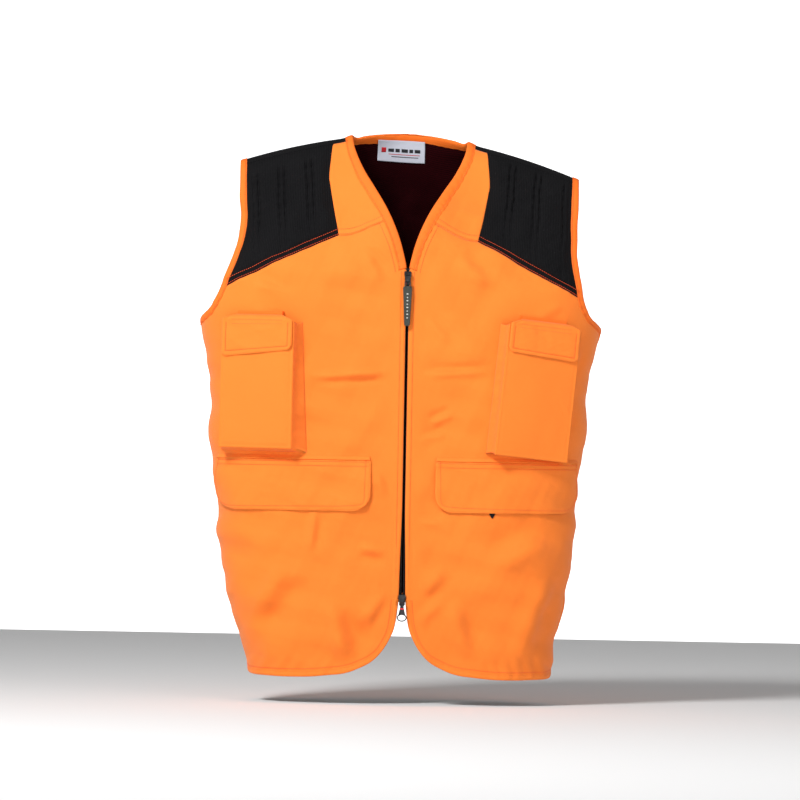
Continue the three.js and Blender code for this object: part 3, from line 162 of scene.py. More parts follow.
def place(s, w):
    """The point of the body at chart place (s, w)."""
    s, w = np.broadcast_arrays(np.asarray(s, float), np.asarray(w, float))
    front = w < 0
    radius = np.where(front, FRONT_ROUND, BACK_ROUND)
    depth = np.where(front, FRONT_DEPTH, BACK_DEPTH)
    run = np.where(front, FRONT_RUN, BACK_RUN)
    along = np.abs(w)
    quarter = radius * math.pi / 2
    turned = np.minimum(along, quarter) / radius
    drop = radius * (1 - np.cos(turned)) + np.maximum(0, along - quarter)
    y = np.sign(w) * (radius * np.sin(turned) + (depth - radius) * ease(drop / run))
    at = np.clip(np.abs(s), 0, SIDE_SEAM_S)
    u = np.interp(at, SECTION_S, SECTION_U)
    lift = np.interp(at, SECTION_S, SECTION_LIFT)
    z = -drop
    for _ in range(8):
        x = half_width(z) * u
        z = shoulder_line(x) - drop
    x = np.sign(s) * x
    bias, tilt = hang_at(z)
    return np.stack([x - bias * np.abs(x), y * lift, z - tilt * x], axis=-1)


def unit(v):
    return v / np.maximum(np.linalg.norm(v, axis=-1, keepdims=True), 1e-9)


def outward(s, w):
    """The cloth's outward normal, from its neighbours a short reach away."""
    reach = 1.5
    low, high = np.maximum(-SIDE_SEAM_S, s - reach), np.minimum(SIDE_SEAM_S, s + reach)
    across = place(high, w) - place(low, w)
    down = place(s, w + reach) - place(s, w - reach)
    return unit(np.cross(across, down))


def spot(x, z, front=True):
    """The chart place of a point seen from the front or the back, before the vest hangs to one side."""
    x, z = np.asarray(x, float), np.asarray(z, float)
    u = np.clip(np.abs(x) / half_width(z), 0, 1)
    s = np.sign(x) * np.interp(u, SECTION_U, SECTION_S)
    return np.stack([s, along_from_drop(shoulder_line(x) - z, front)], axis=-1)


def spots(points, front=True):
    return np.array([spot(x, z, front) for x, z in points])


# ---------------------------------------------------------------- lines on the chart
def spline(points, count):
    """A Catmull-Rom curve through points, even in its parameter."""
    p = np.asarray(points, float)
    at = np.linspace(0, len(p) - 1, count)
    i = np.minimum(at.astype(int), len(p) - 2)
    t = (at - i)[:, None]
    p0, p1, p2, p3 = p[np.maximum(i - 1, 0)], p[i], p[i + 1], p[np.minimum(i + 2, len(p) - 1)]
    v0, v1 = (p2 - p0) / 2, (p3 - p1) / 2
    return (2 * p1 - 2 * p2 + v0 + v1) * t**3 + (-3 * p1 + 3 * p2 - 2 * v0 - v1) * t * t + v0 * t + p1


def travelled(line):
    """The distance from the start of a line to each of its points."""
    return np.concatenate([[0], np.cumsum(np.linalg.norm(np.diff(line, axis=0), axis=1))])


def even(line, steps):
    """The same number of even steps along a line."""
    line = np.asarray(line, float)
    along = travelled(line)
    at = np.linspace(0, along[-1], steps + 1)
    return np.stack([np.interp(at, along, line[:, k]) for k in range(line.shape[1])], axis=1)


def length_of(line):
    return float(travelled(line)[-1])


def joined(*stretches):
    """Several lines in a row, each with its own number of steps, so that the corners between them stay."""
    made = [even(line, steps)[(0 if k == 0 else 1):] for k, (line, steps) in enumerate(stretches)]
    return np.concatenate(made)


def moved(line, distance):
    """A line moved sideways, to the left of its direction."""
    line = np.asarray(line, float)
    ahead, behind = np.roll(line, -1, 0), np.roll(line, 1, 0)
    ahead[-1], behind[0] = line[-1], line[0]
    run = unit(ahead - behind)
    return line + np.stack([-run[:, 1], run[:, 0]], 1) * np.reshape(distance, (-1, 1))


def mirrored(line):
    return np.asarray(line, float) * [-1, 1]


def both_halves(line):
    """A line from the centre outward, carried on to the other side."""
    return np.concatenate([mirrored(line)[::-1][:-1], line])


def between(bottom, top, left, right, across, up):
    """A grid of chart points between four lines; bottom and top run one way, left and right the other."""
    b, t = even(bottom, across), even(top, across)
    l, r = even(left, up), even(right, up)
    u = np.linspace(0, 1, across + 1)[None, :, None]
    v = np.linspace(0, 1, up + 1)[:, None, None]
    sides = l[:, None] * (1 - u) + r[:, None] * u
    ends = b[None] * (1 - v) + t[None] * v
    low = b[0] * (1 - u) + b[-1] * u
    high = t[0] * (1 - u) + t[-1] * u
    return sides + ends - (low * (1 - v) + high * v)


def sided(grid, side):
    """A line or grid made for the wearer's left, on the side asked for."""
    return grid if SIDES[side] > 0 else mirrored(grid)


# ---------------------------------------------------------------- the garment's edges
NECK_FRONT = [(2.1, 0), (4.4, 12), (12.3, 40), (27, 74), (47, 107), (60, 127), (70, 147), (75.5, 163)]
neck_back = [spot(x, 19 - 0.002 * x * x, False) for x in (72, 60, 45, 30, 15, 0)]
neck_crossing = [spot(77, shoulder_line(77))[0], 0]
half_neck = spline([*[spot(x, ZIP_TOP_Z + up) for x, up in NECK_FRONT], neck_crossing, *neck_back], 200)
neck_line = np.concatenate([half_neck[:-1], mirrored(half_neck)[::-1]])

TIP = SHOULDER_TIP_X
ARMHOLE = [(0, -52), (0, -75), (-1, -102), (1, -135), (7, -167), (14, -193), (22, -212), (30, -225)]
tip_spot = [spot(TIP, shoulder_line(TIP))[0], 0]
arm_lines = {}
for face, is_front in (("front", True), ("back", False)):
    under = [SIDE_SEAM_S, spot(HALF_CHEST, UNDERARM_Z, is_front)[1]]
    arm_lines[face] = spline([tip_spot, *[spot(TIP + x, z, is_front) for x, z in ARMHOLE], under], 140)

# the front corner: x, and the height as a share of the zip's end above the hem
HEM_CORNER = [
    (4.4, 1), (7.5, 0.736), (12.5, 0.557), (24, 0.358), (39, 0.208), (60, 0.104), (84, 0.042), (120, 0.008),
]
hem_points = [(x, HEM_Z + rise * (ZIP_BOTTOM_Z - HEM_Z)) for x, rise in HEM_CORNER]
hem_points += [(150, HEM_Z), (180, HEM_Z + 0.5)]
hem_front = spline([*[spot(x, z) for x, z in hem_points], [SIDE_SEAM_S, spot(HALF_HEM, HEM_Z + 5)[1]]], 160)


def back_hem_z(x):
    return HEM_Z + 2 + BACK_HEM_RISE * 0.5 * (1 + np.cos(math.pi * np.clip(np.abs(x) / 185, 0, 1)))


back_hem_half = spline(
    [*[spot(x, back_hem_z(x), False) for x in (0, 30, 60, 90, 120, 150, 180)],
     [SIDE_SEAM_S, spot(HALF_HEM, HEM_Z + 5, False)[1]]],
    120,
)
back_hem = both_halves(back_hem_half)

YOKE = [(29, -101), (93, -123), (TIP + 3, -193)]
PAD_EDGE = [(102, 0), (107, -42), (105.5, -59), (100.5, -87), YOKE[1]]
yoke_line = spots(YOKE)
shoulder_seam_w = float(along_from_drop(SHOULDER_SEAM_DROP))


def seam_at(s):
    """Where the yoke seam lies at s, carried on straight past its ends."""
    a, b, c = yoke_line
    first = a[1] + (s - a[0]) / (b[0] - a[0]) * (b[1] - a[1])
    second = b[1] + (s - b[0]) / (c[0] - b[0]) * (c[1] - b[1])
    return np.where(s < b[0], first, second)


def cut_at_seam(line, above):
    """The part of a line above or below the yoke seam, ending on it."""
    gap = (line[:, 1] - seam_at(line[:, 0])) * (1 if above else -1)
    keep = gap > 0
    made = list(line[keep])
    crossing = np.flatnonzero(keep[1:] != keep[:-1])
    for i in crossing[:1]:
        t = gap[i] / (gap[i] - gap[i + 1])
        on_seam = line[i] * (1 - t) + line[i + 1] * t
        made = [on_seam, *made] if keep[i + 1] else [*made, on_seam]
    return np.array(made)


def seam_between(start, end):
    bend = yoke_line[1]
    return np.array([start, bend, end]) if start[0] < bend[0] < end[0] else np.array([start, end])


# ---------------------------------------------------------------- folds and creases
def waves(x, z, seed, count, size, stretch=1.0):
    """Smooth unevenness of height 1, from a sum of waves that cross each other."""
    rng = np.random.default_rng(seed)
    total = np.zeros(np.shape(x))
    for _ in range(count):
        angle, phase = rng.uniform(0, math.pi), rng.uniform(0, 2 * math.pi)
        long = size * rng.uniform(0.6, 1.6)
        run = x * math.cos(angle) + z * math.sin(angle) * stretch
        total = total + np.sin(2 * math.pi * run / long + phase)
    return total / math.sqrt(count)


def crease(x, z, start, end, width, height, sharp=0.35):
    """A soft fold from start to end: a ridge with a hollow beside it, fading at its ends."""
    a, b = np.array(start, float), np.array(end, float)
    run = np.linalg.norm(b - a)
    d = (b - a) / run
    along = ((x - a[0]) * d[0] + (z - a[1]) * d[1]) / run
    across = (-(x - a[0]) * d[1] + (z - a[1]) * d[0]) / width
    fade = ease(along / sharp) * ease((1 - along) / sharp) * (along > 0) * (along < 1)
    return height * fade * (np.exp(-across**2) - 0.6 * np.exp(-((across - 1.5) ** 2)))


# Folds of the front, as seen: (start, end, width, height), x positive on the wearer's left.
FRONT_CREASES = [
    ((-12, -303), (-132, -311), 5, 1.1),
    ((12, -306), (118, -300), 5, 1.0),
    ((-118, -482), (-124, -548), 6, 1.1),
    ((-96, -600), (-70, -700), 13, 1.8),
    ((-16, -545), (-62, -536), 7, 1.2),
    ((-16, -590), (-54, -640), 8, 1.0),
    ((-150, -560), (-205, -640), 14, 1.7),
    ((-36, -437), (-22, -470), 5, 0.8),
    ((-214, -212), (-150, -262), 8, 1.7),
    ((-206, -184), (-150, -214), 8, 1.3),
    ((-236, -236), (-196, -300), 7, 1.5),
    ((-62, -142), (-30, -186), 8, 0.9),
    ((22, -228), (60, -268), 8, 0.8),
    ((30, -372), (66, -356), 5, 1.1),
    ((16, -392), (58, -384), 5, 0.8),
    ((62, -148), (110, -188), 10, 0.9),
    ((208, -206), (168, -232), 7, 1.6),
    ((232, -240), (214, -312), 7, 1.4),
    ((118, -560), (200, -520), 16, 1.6),
    ((60, -560), (24, -600), 9, 1.0),
    ((66, -600), (88, -690), 12, 1.4),
    ((196, -560), (150, -690), 14, 1.8),
    ((16, -500), (52, -505), 5, 0.7),
    ((14, -640), (60, -600), 8, 0.8),
]
# Folds of the back, seen through from the front.
BACK_CREASES = [
    ((-190, -220), (-90, -300), 12, 2.0),
    ((196, -226), (88, -310), 12, 1.8),
    ((-150, -420), (-60, -440), 14, 1.6),
    ((140, -400), (40, -452), 14, 1.5),
    ((-60, -500), (-90, -640), 16, 1.8),
    ((70, -480), (110, -640), 16, 1.9),
    ((-30, -180), (-50, -300), 12, 1.0),
    ((30, -190), (60, -330), 12, 1.1),
]


def relief(s, w):
    """How far the cloth stands out of its even shape at a chart place: broad unevenness and folds."""
    p = place(s, w)
    x, z = p[..., 0], p[..., 2]
    front = np.asarray(w) < 0
    zip_free = ease((np.abs(s) - 10) / 34)
    broad = 2.3 * waves(x, z, 3, 7, 150) + 1.4 * waves(x, z, 8, 8, 52) + 0.26 * waves(x, z, 9, 9, 21)
    folds = np.zeros(np.shape(x))
    for on_face, creases in ((front, FRONT_CREASES), (~front, BACK_CREASES)):
        for one in creases:
            folds = folds + np.where(on_face, crease(x, z, *one), 0)
    above_hem = z - HEM_Z - 16
    puckers = 0.5 * np.sin(x / 2.6 + z / 9) * bump(above_hem / 22) * ease((x - 96) / 40) * front
    puckers = puckers + 0.35 * np.sin(x / 3.4 - z / 7) * bump(above_hem / 18) * ease((-x - 60) / 60) * front
    high = ease((-28 - z) / 60)  # the shoulders lie smooth, and round over the padding
    crown = 4.5 * np.clip(1 - ((np.abs(s) - 165) / 78) ** 2, 0, 1) * np.exp(-((np.asarray(w) / 48) ** 2))
    # the panel is held nearly flat round the seams of the chest flaps, where they swing close to it
    held = ease((np.abs(x) - 100) / 35) * ease((-178 - z) / 28) * ease((z + 292) / 28) * front
    flat = 1 - 0.8 * held
    calm = ease((np.abs(w) - 12) / 40) * np.where(front, zip_free, 1)
    return (broad * high + 4.4 * folds + 1.6 * puckers) * calm * flat + crown


def skin(sw, offset):
    """Points of the cloth at chart places, some way out along the normal, with the folds."""
    s, w = sw[..., 0], sw[..., 1]
    out = np.asarray(offset, float) + relief(s, w)
    return place(s, w) + outward(s, w) * out[..., None]


# ---------------------------------------------------------------- meshes
def mesh_piece(name, points, faces, body, material, uv=None, smooth=True):
    """A mesh piece from points in millimetres. uv is one (u, v) a point, in metres of cloth."""
    mesh = bpy.data.meshes.new(name)
    points = np.asarray(points, float) * MM
    mesh.from_pydata(points.tolist(), [], [tuple(f) for f in faces])
    piece = bpy.data.objects.new(name, mesh)
    bpy.context.scene.collection.objects.link(piece)
    bm = bmesh.new()
    bm.from_mesh(mesh)
    bmesh.ops.recalc_face_normals(bm, faces=bm.faces)
    bm.to_mesh(mesh)
    bm.free()
    if uv is None:
        uv = points[:, [0, 2]]
    layer = mesh.uv_layers.new(name="cloth")
    corner = np.zeros(len(mesh.loops), np.int32)
    mesh.loops.foreach_get("vertex_index", corner)
    layer.uv.foreach_set("vector", np.asarray(uv, np.float32)[corner].ravel())
    if smooth:
        mesh.polygons.foreach_set("use_smooth", [True] * len(mesh.polygons))
    mesh.materials.append(material)
    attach(piece, body)
    return piece


def slab_faces(rows, columns):
    """The faces of a closed sheet: outer grid, inner grid, and the walls round them."""
    j, i = np.meshgrid(np.arange(rows - 1), np.arange(columns - 1), indexing="ij")
    a = (j * columns + i).ravel()
    top = np.stack([a, a + 1, a + columns + 1, a + columns], 1)
    count = rows * columns
    low = (top + count)[:, ::-1]
    ring = np.array([
        *range(columns - 1),
        *[k * columns + columns - 1 for k in range(rows - 1)],
        *[(rows - 1) * columns + k for k in range(columns - 1, 0, -1)],
        *[k * columns for k in range(rows - 1, 0, -1)],
    ])
    follow = np.roll(ring, -1)
    wall = np.stack([follow, ring, ring + count, follow + count], 1)
    return np.concatenate([top, low, wall])


def rounded(rows, columns, spacing, radius):
    """1 inside a grid, falling to 0 at its edge along a quarter circle of that radius."""
    j = np.minimum(np.arange(rows), np.arange(rows)[::-1])[:, None] * spacing
    i = np.minimum(np.arange(columns), np.arange(columns)[::-1])[None] * spacing
    t = np.clip(np.minimum(i, j) / radius, 0, 1)
    return np.sqrt(1 - (1 - t) ** 2)


def sheet_piece(name, outer, inner, body, material, uv):
    """A closed sheet between two grids of points."""
    rows, columns = outer.shape[:2]
    points = np.concatenate([outer.reshape(-1, 3), inner.reshape(-1, 3)])
    both = np.concatenate([uv.reshape(-1, 2), uv.reshape(-1, 2)]) * MM
    return mesh_piece(name, points, slab_faces(rows, columns), body, material, both)


def grid_area(points):
    """Area of a grid of points, in square millimetres."""
    a, b = points[1:, 1:] - points[:-1, :-1], points[1:, :-1] - points[:-1, 1:]
    return float(np.linalg.norm(np.cross(a, b), axis=-1).sum() / 2)


def cloth_piece(name, grid, outer, inner, body, slot, material, replaced=(), rests_on=(), held="stretched"):
    """A closed piece of cloth over a grid of chart points, from one offset to another."""
    top, low = skin(grid, outer), skin(grid, inner)
    piece = sheet_piece(name, top, low, body, material, grid)
    if replaced:
        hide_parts(*replaced)
    return piece


def tube_faces(count, around, closed):
    """The faces of a tube of that many rings, closed on itself or capped."""
    faces = []
    for j in range(count if closed else count - 1):
        k = (j + 1) % count
        for i in range(around):
            n = (i + 1) % around
            faces.append((j * around + i, j * around + n, k * around + n, k * around + i))
    if not closed:
        faces += [tuple(range(around)), tuple((count - 1) * around + i for i in range(around))]
    return faces


def swept(name, rings, closed, body, material):
    """A tube through rings of points, closed on itself or capped."""
    rings = np.asarray(rings, float)
    faces = tube_faces(*rings.shape[:2], closed)
    around = rings.shape[1]
    middle = rings.mean(1)
    girth = np.linspace(0, 24, around)
    uv = np.stack(np.meshgrid(girth, travelled(middle)), -1).reshape(-1, 2) * MM
    return mesh_piece(name, rings.reshape(-1, 3), faces, body, material, uv)


def parts_piece(name, parts, body, material, smooth=True):
    """Several small closed meshes as one piece."""
    points, faces, base = [], [], 0
    for part_points, part_faces in parts:
        points.append(part_points)
        faces.extend(tuple(int(k) + base for k in f) for f in part_faces)
        base += len(part_points)
    return mesh_piece(name, np.concatenate(points), faces, body, material, smooth=smooth)


# A stitch is a short thread that dips into the cloth at both ends: (share of its length, thickness, rise).
STITCH_RING = np.array([[math.cos(a), math.sin(a)] for a in np.linspace(0, 2 * math.pi, 6)[:-1]])
STITCH_STATIONS = [(-0.5, 0.45, -0.5), (-0.3, 1.0, 0.0), (0.0, 1.1, 0.22), (0.3, 1.0, 0.0), (0.5, 0.45, -0.5)]
STITCH_FACES = tube_faces(len(STITCH_STATIONS), len(STITCH_RING), False)


def stitches(line, normals, pitch=3.0, radius=0.33, length=2.3):
    """Threads along a line of points, each lying in the cloth with the given outward normals."""
    steps = max(2, int(round(length_of(line) / pitch)))
    ends = even(line, steps)
    along = travelled(line)
    at = np.linspace(0, along[-1], steps + 1)
    ups = unit(np.stack([np.interp(at, along, normals[:, k]) for k in range(3)], 1))
    made = []
    for k in range(steps):
        middle = (ends[k] + ends[k + 1]) / 2
        run = unit(ends[k + 1] - ends[k])
        up = unit(ups[k] - run * (ups[k] @ run))
        beside = np.cross(run, up)
        rings = [
            middle + run * length * t + up * radius * (0.5 + rise) + radius * size * (c * beside + d * up)
            for t, size, rise in STITCH_STATIONS
            for c, d in STITCH_RING
        ]
        made.append((np.array(rings), STITCH_FACES))
    return made


def chart_stitches(line, offset, **how):
    """Stitches along a chart line, on cloth that lies at that offset."""
    fine = even(line, max(8, int(length_of(line) / 3)))
    return stitches(skin(fine, offset), outward(fine[:, 0], fine[:, 1]), **how)


# ---------------------------------------------------------------- materials
def math_node(tree, operation, a, b=None, c=None):
    node = tree.nodes.new("ShaderNodeMath")
    node.operation = operation
    for k, value in enumerate((a, b, c)):
        if value is None:
            continue
        if isinstance(value, (int, float)):
            node.inputs[k].default_value = value
        else:
            tree.links.new(value, node.inputs[k])
    return node.outputs[0]


def mix_colour(tree, share, a, b):
    node = tree.nodes.new("ShaderNodeMix")
    node.data_type = "RGBA"
    tree.links.new(share, node.inputs["Factor"])
    for socket, value in ((node.inputs[6], a), (node.inputs[7], b)):
        if isinstance(value, tuple):
            socket.default_value = (*value, 1)
        else:
            tree.links.new(value, socket)
    return node.outputs[2]


def noise(tree, vector, scale, detail):
    node = tree.nodes.new("ShaderNodeTexNoise")
    node.inputs["Scale"].default_value = scale
    node.inputs["Detail"].default_value = detail
    tree.links.new(vector, node.inputs["Vector"])
    return node.outputs["Fac"]


def new_material(name, rough, metal=0.0, sheen=0.0, specular=0.5, coat=0.0):
    material = bpy.data.materials.new(name)
    material.use_nodes = True
    tree = material.node_tree
    shader = tree.nodes["Principled BSDF"]
    shader.inputs["Roughness"].default_value = rough
    shader.inputs["Metallic"].default_value = metal
    shader.inputs["Sheen Weight"].default_value = sheen
    shader.inputs["Sheen Roughness"].default_value = 0.5
    shader.inputs["Specular IOR Level"].default_value = specular
    shader.inputs["Coat Weight"].default_value = coat
    return material, tree, shader


def add_bump(tree, shader, height, distance):
    node = tree.nodes.new("ShaderNodeBump")
    node.inputs["Distance"].default_value = distance
    node.inputs["Strength"].default_value = 1.0
    tree.links.new(height, node.inputs["Height"])
    tree.links.new(node.outputs["Normal"], shader.inputs["Normal"])


def cloth_uv(tree):
    node = tree.nodes.new("ShaderNodeUVMap")
    node.uv_map = "cloth"
    split = tree.nodes.new("ShaderNodeSeparateXYZ")
    tree.links.new(node.outputs["UV"], split.inputs[0])
    return node.outputs["UV"], split.outputs["X"], split.outputs["Y"]


def threads(tree, along, pitch):
    """A wave of that pitch, from 0 to 1."""
    wave = math_node(tree, "SINE", math_node(tree, "MULTIPLY", along, 2 * math.pi / pitch))
    return math_node(tree, "MULTIPLY_ADD", wave, 0.5, 0.5)


def woven(name, light, dark, pitch, rough, distance, sheen=0.0, twill=False):
    """Plain or twill weave: threads cross at the pitch, with uneven dye, soft wear and fibres, and painted
    shade in the hollows between the threads.
    """
    material, tree, shader = new_material(name, rough, sheen=sheen, specular=0.2)
    uv, u, v = cloth_uv(tree)
    if twill:
        diagonal = math_node(tree, "ADD", u, math_node(tree, "MULTIPLY", v, 0.6))
        height = math_node(tree, "MULTIPLY", threads(tree, diagonal, pitch), 0.8)
        crossing = math_node(tree, "MULTIPLY", threads(tree, u, pitch / 2), 0.2)
        height = math_node(tree, "ADD", height, crossing)
    else:
        across, down = threads(tree, u, pitch), threads(tree, v, pitch)
        over = math_node(tree, "MULTIPLY", across, down)
        off_across, off_down = (math_node(tree, "SUBTRACT", 1.0, wave) for wave in (across, down))
        under = math_node(tree, "MULTIPLY", off_across, off_down)
        height = math_node(tree, "ADD", over, under)
    slub = noise(tree, uv, 900.0, 3.0)
    height = math_node(tree, "MULTIPLY_ADD", slub, 0.35, height)
    broad = noise(tree, uv, 7.0, 3.0)
    fine = noise(tree, uv, 240.0, 4.0)
    share = math_node(tree, "MULTIPLY_ADD", broad, 0.7, math_node(tree, "MULTIPLY", fine, 0.3))
    colour = mix_colour(tree, share, dark, light)
    # painted shade: the colour darkens towards seven tenths of the dark colour where the weave dips between
    # the threads
    gap_shade = math_node(tree, "MULTIPLY", math_node(tree, "SUBTRACT", 1.0, height), 0.22)
    colour = mix_colour(tree, gap_shade, colour, tuple(0.7 * c for c in dark))
    tree.links.new(colour, shader.inputs["Base Color"])
    rough_map = math_node(tree, "MULTIPLY_ADD", broad, 0.12, rough - 0.06)
    tree.links.new(rough_map, shader.inputs["Roughness"])
    add_bump(tree, shader, height, distance)
    return material


def ribbed(name, light, dark, pitch, rough, distance):
    """Black padding cloth: fine ribs that run down, with broken yarns between them; the crests are painted
    lighter as a painted highlight and the grooves darker as painted shade.
    """
    material, tree, shader = new_material(name, rough, sheen=0.01, specular=0.09)
    uv, u, v = cloth_uv(tree)
    wobble = math_node(tree, "MULTIPLY_ADD", noise(tree, uv, 90.0, 2.0), 0.0006, u)
    rib = threads(tree, wobble, pitch)
    cross = threads(tree, v, pitch * 0.8)
    height = math_node(tree, "MULTIPLY_ADD", cross, 0.35, rib)
    height = math_node(tree, "MULTIPLY_ADD", noise(tree, uv, 700.0, 3.0), 0.5, height)
    broad = noise(tree, uv, 16.0, 3.0)
    # painted highlight and shade: the rib crests take the light colour and the grooves between them the dark
    share = math_node(tree, "MULTIPLY_ADD", rib, 0.5, math_node(tree, "MULTIPLY", broad, 0.5))
    tree.links.new(mix_colour(tree, share, dark, light), shader.inputs["Base Color"])
    add_bump(tree, shader, height, distance)
    return material


def knitted(name, light, dark, pitch):
    """Mesh lining: rows of small holes on the slant, painted dark as the shade seen through them."""
    material, tree, shader = new_material(name, 0.85, specular=0.03)
    uv, u, v = cloth_uv(tree)
    one = threads(tree, math_node(tree, "ADD", u, v), pitch)
    other = threads(tree, math_node(tree, "SUBTRACT", u, v), pitch)
    hole = math_node(tree, "MULTIPLY", one, other)
    open_hole = math_node(tree, "SMOOTH_MIN", math_node(tree, "MULTIPLY", hole, 1.7), 1.0, 0.2)
    yarn = math_node(tree, "SUBTRACT", 1.0, open_hole)
    broad = noise(tree, uv, 9.0, 2.0)
    # painted shade: the holes take the dark colour, as the shade seen through them
    share = math_node(tree, "MULTIPLY", yarn, math_node(tree, "MULTIPLY_ADD", broad, 0.8, 0.4))
    tree.links.new(mix_colour(tree, share, dark, light), shader.inputs["Base Color"])
    add_bump(tree, shader, yarn, 0.0003)
    return material


def moulded(name, base, wear, rough, metal=0.0, distance=0.00004, coat=0.0):
    """Moulded or cast pieces: a fine grain, and brighter rubbed patches."""
    material, tree, shader = new_material(name, rough, metal=metal, specular=0.5, coat=coat)
    position = tree.nodes.new("ShaderNodeTexCoord").outputs["Object"]
    grain = noise(tree, position, 2600.0, 3.0)
    rubbed = noise(tree, position, 160.0, 4.0)
    sharp = math_node(tree, "MULTIPLY", math_node(tree, "SUBTRACT", rubbed, 0.45), 1.6)
    tree.links.new(mix_colour(tree, sharp, base, wear), shader.inputs["Base Color"])
    rough_map = math_node(tree, "MULTIPLY_ADD", rubbed, 0.25, rough - 0.12)
    tree.links.new(rough_map, shader.inputs["Roughness"])
    add_bump(tree, shader, grain, distance)
    return material


# Colours are a light and a dark, then the thread pitch in metres, the roughness and the height of the weave.
ORANGE = woven(
    "blaze_orange_cloth", (0.98, 0.245, 0.03), (0.96, 0.205, 0.02), 0.00062, 0.72, 0.00009, sheen=0.1
)
ORANGE_TAPE = woven(
    "orange_binding", (0.98, 0.205, 0.022), (0.95, 0.16, 0.014), 0.00085, 0.68, 0.00014, twill=True
)
ORANGE_THREAD = moulded("orange_thread", (0.8, 0.075, 0.01), (0.95, 0.13, 0.02), 0.6, distance=0.0001)
# its light colour is a painted highlight on the rib crests, its dark the painted shade in the grooves
BLACK_QUILT = ribbed(
    "black_quilted_padding", (0.008, 0.0076, 0.0084), (0.0015, 0.0015, 0.002), 0.0021, 0.78, 0.00035
)
BLACK_CLOTH = woven("black_cloth", (0.01, 0.0095, 0.0105), (0.003, 0.003, 0.0035), 0.0007, 0.8, 0.0001)
# its dark colour is painted shade in the holes of the mesh
LINING_MESH = knitted("maroon_mesh_lining", (0.03, 0.0012, 0.003), (0.001, 0.0004, 0.0005), 0.0026)
COIL_PLASTIC = moulded("black_coil", (0.012, 0.012, 0.013), (0.05, 0.05, 0.052), 0.42)
BLACK_METAL = moulded("black_enamel", (0.011, 0.011, 0.013), (0.12, 0.12, 0.125), 0.34, metal=0.55, coat=0.2)
RED_PLASTIC = moulded("red_plastic", (0.72, 0.012, 0.02), (0.85, 0.05, 0.05), 0.35, coat=0.2)
RUBBER = moulded("dark_rubber", (0.028, 0.03, 0.024), (0.06, 0.062, 0.05), 0.62, distance=0.00007)
PALE_PRINT = moulded("pale_raised_print", (0.55, 0.56, 0.52), (0.7, 0.7, 0.68), 0.6)
LABEL_SATIN = woven("pale_woven_label", (0.66, 0.68, 0.76), (0.52, 0.54, 0.63), 0.0006, 0.5, 0.00006)
LABEL_MARK = woven("dark_label_yarn", (0.03, 0.03, 0.035), (0.015, 0.015, 0.02), 0.0006, 0.6, 0.00006)
LABEL_RED = woven("red_label_yarn", (0.55, 0.02, 0.03), (0.45, 0.015, 0.02), 0.0006, 0.6, 0.00006)
HOOK_TAPE = woven("orange_hook_tape", (0.9, 0.15, 0.02), (0.7, 0.09, 0.01), 0.0012, 0.85, 0.0005)

# ---------------------------------------------------------------- outer cloth
STEP = 3.2  # length of the cloth's mesh cells
seam_end = SIDE_SEAM_S - 0.2  # the panels end just short of the side seam


def cells(line):
    return max(4, int(round(length_of(line) / STEP)))


def to_seam(line):
    return np.stack([np.clip(line[:, 0], -seam_end, seam_end), line[:, 1]], 1)


hem_mid = moved(hem_front, EDGE_CLEAR)
neck_mid = moved(half_neck, -EDGE_CLEAR)
neck_mid[-1, 0] = 0
arm_mid = {"front": moved(arm_lines["front"], -EDGE_CLEAR), "back": moved(arm_lines["back"], EDGE_CLEAR)}


def zip_edge_x(z):
    """The front edges part towards the lower end of the zip."""
    return 2.0 + 2.3 * ease((-470 - z) / 134)


zip_levels = np.linspace(ZIP_BOTTOM_Z + 3, ZIP_TOP_Z - 2, 90)
zip_line = spot(zip_edge_x(zip_levels), zip_levels)
hem_turn = len(hem_mid) // 2
hem_corner = np.concatenate([hem_mid[: hem_turn + 1][::-1][:-2], zip_line[:1]])
neck_start = cut_at_seam(neck_mid[neck_mid[:, 1] > zip_line[-1][1] + 3], False)
neck_start = np.concatenate([zip_line[-1:], neck_start])
front_inner = joined(*[(line, cells(line)) for line in (hem_corner, zip_line, neck_start)])
front_bottom = to_seam(hem_mid[hem_turn:])
arm_below = cut_at_seam(to_seam(arm_mid["front"][::-1]), False)
side_seam = np.array([front_bottom[-1], arm_below[0]])
front_outer = joined(*[(line, cells(line)) for line in (side_seam, arm_below)])
front_top = seam_between(front_inner[-1], front_outer[-1])
front_grid = between(front_bottom, front_top, front_inner, front_outer, 92, 210)


def placket(grid):
    """How a front panel stands out by its zip, where it is doubled and stitched, and under the yoke seam."""
    s, w = np.abs(grid[..., 0]), grid[..., 1]
    p = place(grid[..., 0], w)
    raised = 0.75 * (1 - ease((s - 10.5) / 2.0)) * ease((p[..., 2] - HEM_Z - 60) / 30)
    trough = -0.45 * bump((s - 12.3) / 2.0)
    stitch = -0.55 * bump((s - 8.6) / 1.3)
    edge = -0.55 * (1 - ease((s - 1.6) / 1.6))
    seam = seam_at(s) - w
    under_seam = -0.5 * (1 - ease(seam / 1.8)) + 0.25 * bump((seam - 4) / 5)
    tug = 0.175 * np.sin(p[..., 2] / 3.3 + 2 * np.sin(p[..., 2] / 23)) * bump((s - 8) / 8)
    ripple = 0.22 * np.sin(s / 2.7 + 3 * np.sin(s / 31)) * bump(seam / 14)
    return raised + trough + stitch + edge + under_seam + tug + ripple


# The mouth of each inside pocket is a slot through the panel, under the lower flap.
FLAP_IN, FLAP_OUT, FLAP_TOP_Z, FLAP_LENGTH, FLAP_CORNER = 43, 240, -420, 68, 24
BAG_IN, BAG_OUT, MOUTH_HEIGHT = 62, 205, 9
MOUTH_TOP_Z = FLAP_TOP_Z - 6


